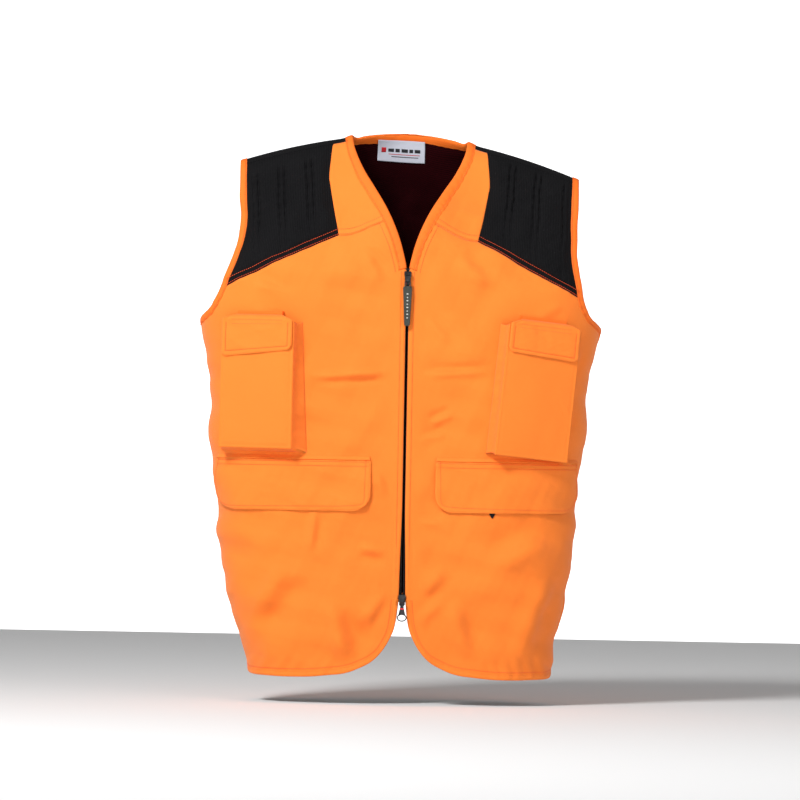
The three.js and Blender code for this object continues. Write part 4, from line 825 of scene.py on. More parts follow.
def without_mouth(piece, grid):
    """Takes out the faces of a front panel inside its pocket's mouth, and walls the rim of the slot."""
    rows, columns = grid.shape[:2]
    s = np.abs(grid[..., 0])
    x = np.interp(s, SECTION_S, SECTION_U) * HALF_WAIST
    z = shoulder_line(x) + grid[..., 1] + FRONT_ROUND * (math.pi / 2 - 1)
    first, last = spot(BAG_IN + 5, MOUTH_TOP_Z)[0], spot(BAG_OUT - 5, MOUTH_TOP_Z)[0]
    inside = (s > first) & (s < last) & (z < MOUTH_TOP_Z - 1) & (z > MOUTH_TOP_Z - MOUTH_HEIGHT)
    cell = inside[1:, 1:] & inside[:-1, :-1] & inside[1:, :-1] & inside[:-1, 1:]
    count = rows * columns
    bm = bmesh.new()
    bm.from_mesh(piece.data)
    gone = []
    for f in bm.faces:
        index = [v.index % count for v in f.verts]
        if max(v.index for v in f.verts) - min(v.index for v in f.verts) >= count:
            continue
        j, i = min(k // columns for k in index), min(k % columns for k in index)
        if j < rows - 1 and i < columns - 1 and cell[j, i]:
            gone.append(f)
    edges = {}
    for f in gone:
        for e in f.edges:
            edges[e] = edges.get(e, 0) + 1
    rim = [tuple(sorted(v.index for v in e.verts)) for e, n in edges.items() if n == 1]
    bmesh.ops.delete(bm, geom=gone, context="FACES_ONLY")
    bm.verts.ensure_lookup_table()
    for a, b in rim:
        if a < count and b < count:
            corners = [bm.verts[k] for k in (a, b, b + count, a + count)]
            bm.faces.new(corners)
    bmesh.ops.recalc_face_normals(bm, faces=bm.faces)
    for f in bm.faces:
        f.smooth = True
    loose = [v for v in bm.verts if not v.link_faces]
    bmesh.ops.delete(bm, geom=loose, context="VERTS")
    bm.to_mesh(piece.data)
    bm.free()


for side in SIDES:
    grid = sided(front_grid, side)
    outer = CLOTH + placket(grid)
    top, low = skin(grid, outer), skin(grid, np.minimum(outer - 1.0, 0.0))
    panel = sheet_piece(f"front_panel_cloth_{side}", top, low, "vest", ORANGE, grid)
    without_mouth(panel, grid)
    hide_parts(f"front_panel_{side}")

# Shoulder pad and neck piece, between the yoke seam and the shoulder seam.
below_w = shoulder_seam_w - 0.2


def below_shoulder(line):
    return line[line[:, 1] < below_w]


pad_seam = spline(spots(PAD_EDGE), 60)
pad_seam_line = np.concatenate([[[pad_seam[0][0], below_w]], below_shoulder(pad_seam)])[::-1]
arm_above = below_shoulder(cut_at_seam(arm_mid["front"][::-1], True))
pad_outer = np.concatenate([arm_above, [[arm_mid["front"][0][0], below_w]]])
pad_bottom = seam_between(pad_seam_line[0], pad_outer[0])
pad_grid = between(pad_bottom, [pad_seam_line[-1], pad_outer[-1]], pad_seam_line, pad_outer, 150, 150)
neck_above = below_shoulder(cut_at_seam(neck_mid, True))
neck_inner = np.concatenate([neck_above, [[neck_above[-1][0], below_w]]])
neck_bottom = seam_between(neck_inner[0], pad_seam_line[0])
neck_grid = between(neck_bottom, [neck_inner[-1], pad_seam_line[-1]], neck_inner, pad_seam_line, 34, 60)

# Quilting lines: pairs of stitched channels, each (x at the top, x at the foot), as seen from the front.
PAIR_GAP = 7.6
QUILTING = {
    "right": [(207, 200), (172, 165), (135, 127)],
    "left": [(140, 132), (174, 167), (212, 207)],
}
QUILT_TOP = -16
QUILT_FOOT = {"right": (-150, -140, -122), "left": (-118, -136, -156)}


def channel_depths(grid, side):
    """The stitched channels of a pad, deepest at the top and fading at the foot."""
    p = place(grid[..., 0], grid[..., 1])
    x, z = np.abs(p[..., 0]), p[..., 2]
    depth = np.zeros(x.shape)
    for (top, foot), end in zip(QUILTING[side], QUILT_FOOT[side]):
        t = np.clip((QUILT_TOP - z) / (QUILT_TOP - end), 0, 1)
        wander = 0.4 * np.sin(z / 11.0 + top) + 0.2 * np.sin(z / 4.1)
        for beside in (-PAIR_GAP / 2, PAIR_GAP / 2):
            across = (x - (top + (foot - top) * t) - beside - wander) / 2.1
            slope = shoulder_line(x) - 13
            fade = ease((slope - z) / 5) * (1 - 0.75 * ease((t - 0.55) / 0.45))
            depth = depth + fade * np.exp(-across**2) * (1 + 0.25 * np.sin(z / 2.1 + beside))
    return depth


for side in SIDES:
    grid = sided(pad_grid, side)
    p = place(grid[..., 0], grid[..., 1])
    x, z = p[..., 0], p[..., 2]
    s, w = np.abs(grid[..., 0]), grid[..., 1]
    seam = w - seam_at(s)
    inner_edge = np.interp(w, pad_seam_line[:, 1], pad_seam_line[:, 0])
    arm_edge = np.interp(w, pad_outer[:, 1], pad_outer[:, 0])
    from_edge = np.minimum(np.minimum(s - inner_edge, arm_edge - 8.5 - s), np.minimum(seam, below_w - w))
    stuffed = ease(from_edge / 13)
    lumps = 0.5 * waves(x, z, 21, 8, 26) + 0.18 * waves(x, z, 22, 8, 8)
    flat_hem = ease((seam - 7.5) / 7)
    offset = 1.2 + 3.0 * stuffed * (0.35 + 0.65 * flat_hem)
    offset = offset + (lumps - 2.7 * channel_depths(grid, side)) * stuffed
    offset = offset - 0.35 * bump((seam - YOKE_ROWS[0]) / 1.0) - 0.35 * bump((seam - YOKE_ROWS[1]) / 1.1)
    top, low = skin(grid, offset), skin(grid, 0.1)
    pad = sheet_piece(f"shoulder_padding_{side}", top, low, "vest", BLACK_QUILT, grid)
    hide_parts(f"shoulder_pad_{side}")

    grid = sided(neck_grid, side)
    seam = grid[..., 1] - seam_at(np.abs(grid[..., 0]))
    drawn_in = sum(bump((seam - row) / 1.2) for row in YOKE_ROWS)
    offset = CLOTH + 0.35 - 0.35 * drawn_in + 0.2 * bump((seam - 4.8) / 3)
    cloth_piece(
        f"neck_cloth_{side}", grid, offset, 0.1, "vest", "orange_cloth", ORANGE,
        [f"neck_piece_{side}"], [f"lining_front_{side}"],
    )


# Back yoke over the shoulders, and the back panel.
def back_seam_w(s):
    """Where the level seam below the back yoke lies at s."""
    x = np.interp(np.abs(s), SECTION_S, SECTION_U) * half_width(BACK_SEAM_Z)
    return along_from_drop(shoulder_line(x) - BACK_SEAM_Z, False)


over_neck = neck_mid[neck_mid[:, 1] > shoulder_seam_w][::-1]
yoke_top_half = joined(
    (np.concatenate([over_neck, [[over_neck[-1][0], shoulder_seam_w]]]), 40),
    (np.array([[over_neck[-1][0], shoulder_seam_w], [arm_mid["front"][0][0], shoulder_seam_w]]), 36),
)
arm_back = arm_mid["back"]
split = arm_back[:, 1] < back_seam_w(arm_back[:, 0])
arm_above_back = np.concatenate([[[arm_mid["front"][0][0], shoulder_seam_w]], arm_back[split]])
back_seam_end = np.array([arm_back[split][-1][0], float(back_seam_w(arm_back[split][-1][0]))])
arm_above_back = np.concatenate([arm_above_back, [back_seam_end]])
seam_s = np.linspace(0, back_seam_end[0], 60)
back_seam_half = np.stack([seam_s, back_seam_w(seam_s)], 1)


yoke_side = arm_above_back[::-1]
yoke_grid = between(
    both_halves(back_seam_half), both_halves(yoke_top_half), mirrored(yoke_side), yoke_side, 190, 80
)
from_seam = back_seam_w(yoke_grid[..., 0]) - yoke_grid[..., 1]
drawn_in = sum(bump((from_seam - row) / 1.2) for row in BACK_ROWS)
yoke_offset = 1.0 + 0.25 * ease(from_seam / 9) - 0.35 * drawn_in
yoke_offset = yoke_offset + 0.5 * bump((yoke_grid[..., 1] - shoulder_seam_w) / 5)
cloth_piece(
    "back_yoke_cloth", yoke_grid, yoke_offset, 0.2, "vest", "black_cloth", BLACK_QUILT,
    ["back_yoke"], ["lining_back"],
)

back_bottom = to_seam(moved(back_hem, -EDGE_CLEAR))
arm_below_back = np.concatenate([[back_seam_end], to_seam(arm_back[~split])])[::-1]
back_side_seam = np.array([back_bottom[-1], arm_below_back[0]])
back_side = joined(*[(line, cells(line)) for line in (back_side_seam, arm_below_back)])
back_grid = between(back_bottom, both_halves(back_seam_half), mirrored(back_side), back_side, 176, 170)
cloth_piece(
    "back_panel_cloth", back_grid, CLOTH, 0.0, "vest", "orange_cloth", ORANGE, ["back_panel"], ["lining_back"]
)

# A felled strip closes each side seam, from the underarm to the hem.
SEAM_REACH = [-5.5, -5, -2.6, -0.2, 0.2, 2.6, 5, 5.5]
seam_levels = np.linspace(HEM_Z + 8, UNDERARM_Z - 3, 150)
seam_width = half_width(seam_levels)
seam_columns = []
for reach in SEAM_REACH:
    w = along_from_drop(shoulder_line(seam_width) - seam_levels, reach < 0)
    seam_columns.append(np.stack([np.full(len(w), SIDE_SEAM_S - abs(reach)), w], 1))
seam_grid = np.stack(seam_columns, 1)
seam_rise = CLOTH + 0.3 - 0.25 * bump((np.abs(SEAM_REACH) - 3.4) / 1.2)[None] + 0 * seam_grid[..., 0]
seam_rise[:, [0, -1]] = 0.6
for side in SIDES:
    cloth_piece(f"side_seam_{side}", sided(seam_grid, side), seam_rise, -0.25, "vest", "orange_cloth", ORANGE)

# ---------------------------------------------------------------- bound edges
# A strip folded round the edge: (distance from the edge, offset along the normal), closed.
BINDING_SECTION = np.array([
    (-9.5, 1.0), (-9.35, 1.8), (-8.5, 2.2), (-7.6, 1.5), (-6.6, 2.3), (-3.6, 2.35), (-1.4, 2.25), (-0.2, 1.7),
    (0.35, 0.5), (0.3, -0.8), (-0.5, -1.9), (-2.2, -2.5),
    (-6.2, -2.5), (-7.6, -2.3), (-8.8, -2.4), (-9.5, -1.9),
    (-9.4, -0.8), (-9.4, 0.2),
])


def edge_rings(line, sign, section, seed, ripple=0.2, end=None, gather=0.0):
    """Rings of a strip along an edge line of chart points.

    sign says which side of the line the cloth is. ripple is the height of its puckers, which grow by gather
    towards the end of the line.
    """
    along = travelled(line)
    wobble = np.sin(along / 1.9 + 2 * np.sin(along / 17 + seed)) * ripple
    wobble = wobble * (1 + gather * ease((along - along[-1] + 90) / 60))
    sway = 0.35 * np.sin(along / 23 + seed) + 0.2 * np.sin(along / 7.1 + 2 * seed)
    rings = []
    for t, n in section:
        inner = np.clip(-t / BINDING, 0, 1)
        shifted = moved(line, sign * (t + sway * inner))
        if end is not None:
            shifted[:, 0] = np.clip(shifted[:, 0], -end, end)
        rings.append(skin(shifted, n + wobble * (1 if n > 0 else 0.4) * (0.25 + inner)))
    return np.stack(rings, 1)


neck_route = even(neck_line, 420)
rings = edge_rings(neck_route, 1, BINDING_SECTION, 0.4, 0.28)
neck_binding = swept("neck_edge_binding", rings, False, "vest", ORANGE_TAPE)
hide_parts("neck_binding")

for side, sign in SIDES.items():
    seed = 2.2 if sign > 0 else 1.2
    routes = [sided(even(arm_lines[face], 130), side) for face in ("front", "back")]
    front_rings = edge_rings(routes[0], sign, BINDING_SECTION, seed, gather=2.0)
    back_rings = edge_rings(routes[1], -sign, BINDING_SECTION, seed + 1, gather=2.0)
    ring = np.concatenate([front_rings, back_rings[1:-1][::-1]])
    piece = swept(f"armhole_edge_binding_{side}", ring, True, "vest", ORANGE_TAPE)
    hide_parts(f"armhole_binding_{side}")

HEM_SECTION = BINDING_SECTION * [0.86, 0.82]
for side, sign in SIDES.items():
    route = sided(even(hem_front, 170), side)
    rings = edge_rings(route, -sign, HEM_SECTION, 0.9 * sign, end=SIDE_SEAM_S - 0.3)
    piece = swept(f"hem_fold_front_{side}", rings, False, "vest", ORANGE)
    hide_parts(f"hem_band_front_{side}")
rings = edge_rings(even(back_hem, 300), 1, HEM_SECTION, 0.3, end=SIDE_SEAM_S - 0.3)
back_hem_piece = swept("hem_fold_back", rings, False, "vest", ORANGE)
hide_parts("hem_band_back")

# ---------------------------------------------------------------- lining
BAG_ROOM, BAG_WALL = 8, 0.9
bag_depth = 0.7 + 2 * BAG_WALL + BAG_ROOM


def tucked(grid, offset):
    """A lining runs in between the cloth and the folded strip at every bound or hemmed edge."""
    edges = [neck_line, hem_front, mirrored(hem_front), back_hem]
    for line in arm_lines.values():
        edges += [line, mirrored(line)]
    edges = np.concatenate([even(line, 150) for line in edges])
    away = np.full(grid.shape[:2], 1e9)
    for point in edges:
        away = np.minimum(away, np.hypot(grid[..., 0] - point[0], grid[..., 1] - point[1]))
    inside = ease((away - 8.5) / 7)
    return -0.9 * (1 - inside) + offset * inside


def lining_offset(grid):
    """The front lining runs behind the inside pocket and comes forward above and below it."""
    at = place(grid[..., 0], grid[..., 1])
    across = ease((np.abs(at[..., 0]) - 18) / 30) * ease((SIDE_SEAM_S - np.abs(grid[..., 0])) / 60)
    down = ease((at[..., 2] + 700) / 60) * ease((-270 - at[..., 2]) / 60)
    sag = 0.9 * waves(at[..., 0], at[..., 2], 31, 7, 70) * ease((np.abs(grid[..., 0]) - 16) / 20)
    loose = -(LINING_GAP + 0.8 + (bag_depth - LINING_GAP + 1.4) * across * down) + np.minimum(sag, 1.0)
    return tucked(grid, loose)


TAPE_REACH = 16.0  # the front linings end at the outer edges of the zip tapes
tape_edge = spot(np.full(2, TAPE_REACH), np.array([-640.0, ZIP_TOP_Z - 8]))
low_corner = hem_mid[: hem_turn + 1][::-1]
low_corner = low_corner[(low_corner[:, 0] > TAPE_REACH) & (low_corner[:, 1] < tape_edge[0][1])]
neck_part = below_shoulder(neck_mid[neck_mid[:, 0] > TAPE_REACH])
lining_left = joined(
    (np.concatenate([low_corner, tape_edge[:1]]), 12),
    (tape_edge, 70),
    (np.concatenate([tape_edge[1:], neck_part]), 40),
)
lining_right = np.concatenate([front_outer, pad_outer[1:]])
lining_grid = between(front_bottom, [lining_left[-1], lining_right[-1]], lining_left, lining_right, 48, 122)
for side in SIDES:
    grid = sided(lining_grid, side)
    offset = lining_offset(grid)
    cloth_piece(
        f"lining_mesh_front_{side}", grid, offset, offset - LINING, "vest", "mesh_lining", LINING_MESH,
        [f"lining_front_{side}"], [f"front_panel_cloth_{side}"], "hung",
    )

back_lining_side = np.concatenate([back_side[:-1], yoke_side])
lining_top = yoke_top_half.copy()
lining_top[:, 1] = np.maximum(lining_top[:, 1], shoulder_seam_w + 2)
back_lining_grid = between(
    back_bottom, both_halves(lining_top), mirrored(back_lining_side), back_lining_side, 120, 170
)
at = place(back_lining_grid[..., 0], back_lining_grid[..., 1])
hang_free = ease((back_lining_grid[..., 1] - 92) / 60)
sag = 1.8 * waves(at[..., 0], at[..., 2], 41, 7, 90, 0.5) + 0.7 * waves(at[..., 0], at[..., 2], 42, 7, 34)
back_offset = tucked(back_lining_grid, -(LINING_GAP + 1.2) + np.minimum(sag * hang_free, 1.6))
cloth_piece(
    "lining_mesh_back", back_lining_grid, back_offset, back_offset - LINING,
    "vest", "mesh_lining", LINING_MESH,
    ["lining_back"], ["back_panel_cloth"], "hung",
)


# ---------------------------------------------------------------- zip
def box_part(low, high):
    (x0, y0, z0), (x1, y1, z1) = low, high
    corners = np.array([(x, y, z) for x in (x0, x1) for y in (y0, y1) for z in (z0, z1)], float)
    faces = [(0, 1, 3, 2), (4, 6, 7, 5), (0, 4, 5, 1), (2, 3, 7, 6), (0, 2, 6, 4), (1, 5, 7, 3)]
    return corners, faces


def bevelled(piece, width, segments=3):
    """Rounds a piece's edges for good."""
    modifier = piece.modifiers.new("round", "BEVEL")
    modifier.width = width * MM
    modifier.segments = segments
    modifier.limit_method = "ANGLE"
    modifier.angle_limit = math.radians(30)
    depsgraph = bpy.context.evaluated_depsgraph_get()
    mesh = bpy.data.meshes.new_from_object(piece.evaluated_get(depsgraph))
    old = piece.data
    piece.modifiers.clear()
    piece.data = mesh
    bpy.data.meshes.remove(old)


def plate_part(near, far):
    """A plate between two outlines of points."""
    n = len(near)
    faces = [tuple(range(n)), tuple(range(2 * n - 1, n - 1, -1))]
    faces += [(k, (k + 1) % n, n + (k + 1) % n, n + k) for k in range(n)]
    return np.array([*near, *far], float), faces


def outline_part(outline, y0, y1):
    """A plate whose outline is given as (x, z), from y0 to y1."""
    return plate_part([(x, y0, z) for x, z in outline], [(x, y1, z) for x, z in outline])


def tube_part(path, radius, around=8, closed=False):
    """A round wire along a path."""
    path = np.asarray(path, float)
    ahead, behind = np.roll(path, -1, 0), np.roll(path, 1, 0)
    if not closed:
        ahead[-1], behind[0] = path[-1], path[0]
    run = unit(ahead - behind)
    across = np.array([0.13, -0.21, 0.97] if abs(run[0][2]) < 0.9 else [1.0, 0.1, 0.0])
    side_way = unit(np.cross(run, across))
    up = np.cross(run, side_way)
    rings = [
        path + radius * (math.cos(a) * side_way + math.sin(a) * up)
        for a in np.linspace(0, 2 * math.pi, around, endpoint=False)
    ]
    return np.stack(rings, 1).reshape(-1, 3), tube_faces(len(path), around, closed)


coil_low, coil_high = ZIP_BOTTOM_Z + 8, ZIP_TOP_Z - 4
COIL_PITCH = 1.35
COIL_X, COIL_REACH, COIL_DEPTH, COIL_WIRE = 1.75, 0.8, 0.85, 0.27


def coil_parts(side_sign):
    """One row of the coil: a closed loop of wire for each tooth."""
    made = []
    levels = np.arange(coil_low, coil_high, COIL_PITCH) + (0.5 * COIL_PITCH if side_sign > 0 else 0)
    angles = np.linspace(0, 2 * math.pi, 9, endpoint=False)
    for z in levels:
        loop = np.stack([
            side_sign * (COIL_X + COIL_REACH * np.cos(angles)),
            FRONT_Y + 1.25 + COIL_DEPTH * np.sin(angles),
            z + 0.22 * np.cos(angles),
        ], 1)
        made.append(tube_part(loop, COIL_WIRE, 5, closed=True))
    return made


for side, sign in SIDES.items():
    coil = parts_piece(f"coil_row_{side}", coil_parts(sign), "vest", COIL_PLASTIC)
    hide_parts(f"zip_coil_{side}")
    levels = np.linspace(ZIP_BOTTOM_Z - 4, ZIP_TOP_Z, 120)
    columns = np.linspace(1.2, 14.5, 9)
    tape_top = np.array([
        [(sign * x, FRONT_Y + 2.3 + 0.12 * math.sin(z / 2.3), z) for x in columns] for z in levels
    ])
    tape_low = tape_top + [0, 0.6, 0]
    uv = np.array([[(x, z) for x in columns] for z in levels])
    tape = sheet_piece(f"zip_woven_tape_{side}", tape_top, tape_low, "vest", BLACK_CLOTH, uv)
    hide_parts(f"zip_tape_{side}")

PIN_RADIUS, LINK_WIDTH, LINK_WALL, RIVET_RADIUS, RUN = 0.9, 4.4, 1.1, 1.6, 0.4
plate_front = FRONT_Y - 2.2 - 0.6
pull_y = plate_front - 1.6 - LINK_WALL - RIVET_RADIUS - 2 * RUN
slider_top_z = ZIP_TOP_Z - 3 - 0.7 - RUN
top_pin_z = slider_top_z - 4
rivet_z = top_pin_z - 12
low_slider_top = ZIP_BOTTOM_Z + 6
low_pin_z = low_slider_top - 15 + 3
lug_in = LINK_WIDTH / 2 + RUN


def slider_piece(name, top, pin_z):
    """Two plates that narrow downward, the web between them, and two lugs with a pin."""
    outline = [(-4.4, 0), (-4.7, -1.5), (-4.7, -4.5), (-3.9, -9), (-3.6, -13.5), (-3.0, -15),
               (3.0, -15), (3.6, -13.5), (3.9, -9), (4.7, -4.5), (4.7, -1.5), (4.4, 0)]
    shape = [(x, top + z) for x, z in outline]
    parts = [
        outline_part(shape, plate_front - 1.6, plate_front),
        outline_part(shape, FRONT_Y + 4.5, FRONT_Y + 6.1),
        box_part((-0.5, plate_front - 0.1, top - 11), (0.5, FRONT_Y + 4.6, top - 2)),
    ]
    for sign in (-1, 1):
        x0, x1 = sorted((sign * lug_in, sign * (lug_in + 1.3)))
        lug = [(-1.8, -1.8), (-1.8, 1.6), (-0.6, 2.2), (2.6, 2.2), (2.6, -1.8)]
        near, far = ([(x, pull_y + a, pin_z + b) for a, b in lug] for x in (x0, x1))
        parts.append(plate_part(near, far))
    parts.append(tube_part([(-lug_in - 0.9, pull_y, pin_z), (lug_in + 0.9, pull_y, pin_z)], PIN_RADIUS, 16))
    piece = parts_piece(f"{name}_shape", parts, name, BLACK_METAL, smooth=False)
    bevelled(piece, 0.35)
    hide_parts(name)


slider_piece("zip_slider_top", slider_top_z, top_pin_z)
slider_piece("zip_slider_bottom", low_slider_top, low_pin_z)

# The rubber tab: a long tapered tongue with a raised rim and dashes down its front.
TAB_LENGTH, TAB_TOP, TAB_BOTTOM, TAB_THICK, TAB_RIM = 53, 12.5, 7.5, 2.4, 1.3
tab_top_z = rivet_z - (RIVET_RADIUS + RUN) - LINK_WALL - RUN


def tab_half(t):
    """Half width of the tab, t from 0 at its top to 1 at its end."""
    shoulder = np.sqrt(np.clip(1 - (1 - np.clip(t / 0.07, 0, 1)) ** 2, 0, 1))
    toe = np.sqrt(np.clip(1 - (1 - np.clip((1 - t) / 0.05, 0, 1)) ** 2, 0, 1))
    straight = (TAB_TOP / 2) * (1 - t) + (TAB_BOTTOM / 2) * t
    return straight * (0.55 + 0.45 * shoulder) * (0.45 + 0.55 * toe)


tab_rings = []
ring_angles = np.linspace(0, 2 * math.pi, 28, endpoint=False)
for t in np.concatenate([np.linspace(0, 0.1, 10), np.linspace(0.12, 0.93, 34), np.linspace(0.95, 1, 8)]):
    half = float(tab_half(t))
    c, d = np.cos(ring_angles), np.sin(ring_angles)
    x = half * np.sign(c) * np.abs(c) ** 0.5
    y = TAB_THICK / 2 * np.sign(d) * np.abs(d) ** 0.5
    along_tab = float(ease((t - 0.06) / 0.04) * ease((0.96 - t) / 0.03))
    dish = 0.35 * along_tab * (1 - np.clip(np.abs(x) / max(half - TAB_RIM, 0.5), 0, 1) ** 6)
    y = np.where(d < 0, y + dish, y)
    tab_rings.append(np.stack([x, pull_y + y, np.full_like(x, tab_top_z - t * TAB_LENGTH)], 1))
tab = swept("zip_rubber_tab", tab_rings, False, "zip_pull_tab", RUBBER)
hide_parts("zip_pull_tab")
ears = []
for sign in (-1, 1):
    x0, x1 = sorted((sign * lug_in, sign * (lug_in + 1.6)))
    ears.append(box_part((x0, pull_y - 2.3, tab_top_z - 2), (x1, pull_y + 2.0, rivet_z + 2.2)))
ear_piece = parts_piece("zip_rubber_ears", ears, "zip_pull_tab", RUBBER, smooth=False)
bevelled(ear_piece, 0.7, 4)
rivet = parts_piece(
    "zip_red_rivet",
    [tube_part([(-4.1, pull_y, rivet_z), (4.1, pull_y, rivet_z)], 1.55, 20),
     box_part((-1.9, pull_y - 2.4, rivet_z - 1.9), (1.9, pull_y - 1.0, rivet_z + 1.5))],
    "zip_pull_tab", RED_PLASTIC, smooth=False,
)
bevelled(rivet, 0.35)
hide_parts("zip_pull_rivet")
dashes = []
# how far down the tab, as a share, and how wide
DASHES = [
    (0.2, 2.6), (0.29, 1.6), (0.37, 2.6), (0.46, 2.0), (0.54, 2.6), (0.63, 1.6), (0.71, 2.4), (0.8, 1.8),
]
for t, wide in DASHES:
    z = tab_top_z - t * TAB_LENGTH
    half = wide / 2 * 0.9
    dashes.append(box_part((-half, pull_y - 1.25, z - 0.75), (half, pull_y - 0.85, z + 0.75)))
dash_piece = parts_piece("zip_tab_dashes", dashes, "zip_pull_tab", PALE_PRINT, smooth=False)
bevelled(dash_piece, 0.15, 2)

# The lower pull: an eye, a plate that widens, and an oval wire ring.
RING_WIDTH, RING_HEIGHT, RING_WIRE, RING_NECK = 13.4, 10.5, 1.7, 11
eye_bore = PIN_RADIUS + RUN
ring_top_z = low_pin_z - eye_bore - LINK_WALL - RING_NECK
ring_middle = ring_top_z - RING_HEIGHT / 2
angles = np.linspace(0, 2 * math.pi, 48, endpoint=False)
ring_path = np.stack([
    (RING_WIDTH - RING_WIRE) / 2 * np.cos(angles),
    np.full_like(angles, pull_y),
    ring_middle + (RING_HEIGHT - RING_WIRE) / 2 * np.sin(angles),
], 1)
neck_half = [
    (-2.1, low_pin_z - 1.9), (-2.6, low_pin_z - 6), (-4.6, ring_top_z - 1.4), (-3.0, ring_top_z - 2.0),
]
neck_outline = [*neck_half, (0, ring_top_z - 0.4), *[(-x, z) for x, z in neck_half[::-1]]]
eye_angles = np.linspace(0, 2 * math.pi, 20, endpoint=False)
eye_wires = [
    tube_part(np.stack([
        np.full_like(eye_angles, x),
        pull_y + (eye_bore + 0.55) * np.cos(eye_angles),
        low_pin_z + (eye_bore + 0.55) * np.sin(eye_angles),
    ], 1), 0.55, 8, closed=True)
    for x in (-1.4, -0.5, 0.5, 1.4)
]
RING_AROUND = 10
wire_part = tube_part(ring_path, 0.82, RING_AROUND, closed=True)
ring_parts = [wire_part, outline_part(neck_outline, pull_y - 0.75, pull_y + 0.75), *eye_wires]
ring_piece = parts_piece("zip_ring_pull", ring_parts, "zip_pull_ring", BLACK_METAL, smooth=False)
for polygon in ring_piece.data.polygons:
    polygon.use_smooth = len(polygon.vertices) == 4 and polygon.index < len(ring_path) * RING_AROUND
bevelled(ring_piece, 0.2, 2)
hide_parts("zip_pull_ring")
mark_z = ring_top_z + RING_NECK * 0.6
mark = parts_piece(
    "zip_red_mark", [box_part((-2.6, pull_y - 1.3, mark_z - 1.0), (2.6, pull_y - 0.7, mark_z + 1.0))],
    "zip_pull_ring", RED_PLASTIC, smooth=False,
)
bevelled(mark, 0.25)
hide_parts("zip_ring_mark")

def dressed(node, material):
    """Gives a node kept from the frame its material."""
    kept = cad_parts[node]
    kept.data.materials.clear()
    kept.data.materials.append(material)
    return kept


zip_ends = [f"zip_{kind}_{side}" for kind in ("top_stop", "end_pin") for side in SIDES]
for node in ("zip_pull_link", *zip_ends):
    soften = dressed(node, BLACK_METAL).modifiers.new("round", "BEVEL")
    soften.width = 0.2 * MM
    soften.segments = 2

# ---------------------------------------------------------------- chest pockets
POUCH_X, POUCH_TOP_Z, POUCH_WIDTH, POUCH_MOUTH, POUCH_DEPTH = 188, -230, 101, 9, 9
POUCH_LENGTH = {"right": 178, "left": 184}
POUCH_SPREAD = {"right": 18, "left": 9}
POUCH_DROP = {"right": 2, "left": -10}
POUCH_TURN = 4.668
POUCH_TILT = {"right": 0.5, "left": -5.5}
FLAP_WIDTH, FLAP_SEAM, FLAP_FOLD = 98, 62, 7
FLAP_INNER = {"right": 46, "left": 45}
FLAP_OUTER = {"right": 57, "left": 50}
FLAP_CUT, FLAP_CLOTH, FLAP_ROOM = 6, 1.5, 2.4


def nearest(grid, line):
    """For each point of a line, the index of the nearest point of a flattened grid."""
    apart = np.linalg.norm(grid[None] - line[:, None, None], axis=-1)
    return np.argmin(apart.reshape(len(line), -1), axis=1)


def pocket_frame(side):
    """Local x away from the centre line, y outward, z up, from the middle of the flap's seam."""
    sign = SIDES[side]
    middle = spot(POUCH_X, POUCH_TOP_Z)
    facing = outward(middle[0], middle[1])
    turned = math.atan2(facing[0], -facing[1]) + math.radians(POUCH_TURN)
    out = outward(sign * middle[0], middle[1])
    seat = place(sign * middle[0], middle[1]) + out * (CLOTH + 4.5)
    turn = Matrix.Rotation(sign * turned, 4, "Z")
    tilt = Matrix.Rotation(math.radians(-POUCH_TILT[side] * sign), 4, "Y")
    mirror = Matrix.Diagonal((sign, -1, 1, 1))
    return np.array(Matrix.Translation(Vector(seat)) @ turn @ tilt @ mirror)


def to_world(frame_matrix, local):
    local = np.asarray(local, float)
    return local @ frame_matrix[:3, :3].T + frame_matrix[:3, 3]


def chart_of_front(x_seen, z_seen):
    """The chart place behind a point seen from the front."""
    x, z = np.array(x_seen, float), np.array(z_seen, float)
    for _ in range(12):
        bias, tilt = hang_at(z)
        x = x_seen + bias * np.abs(x)
        z = z_seen + tilt * x
    return spot(x, z)


def onto_cloth(points, offset):
    """Points moved along Y to lie on the front cloth."""
    sw = chart_of_front(points[..., 0], points[..., 2])
    on = skin(sw, np.full(points.shape[:-1], CLOTH + offset))
    made = points.copy()
    made[..., 1] = on[..., 1]
    return made


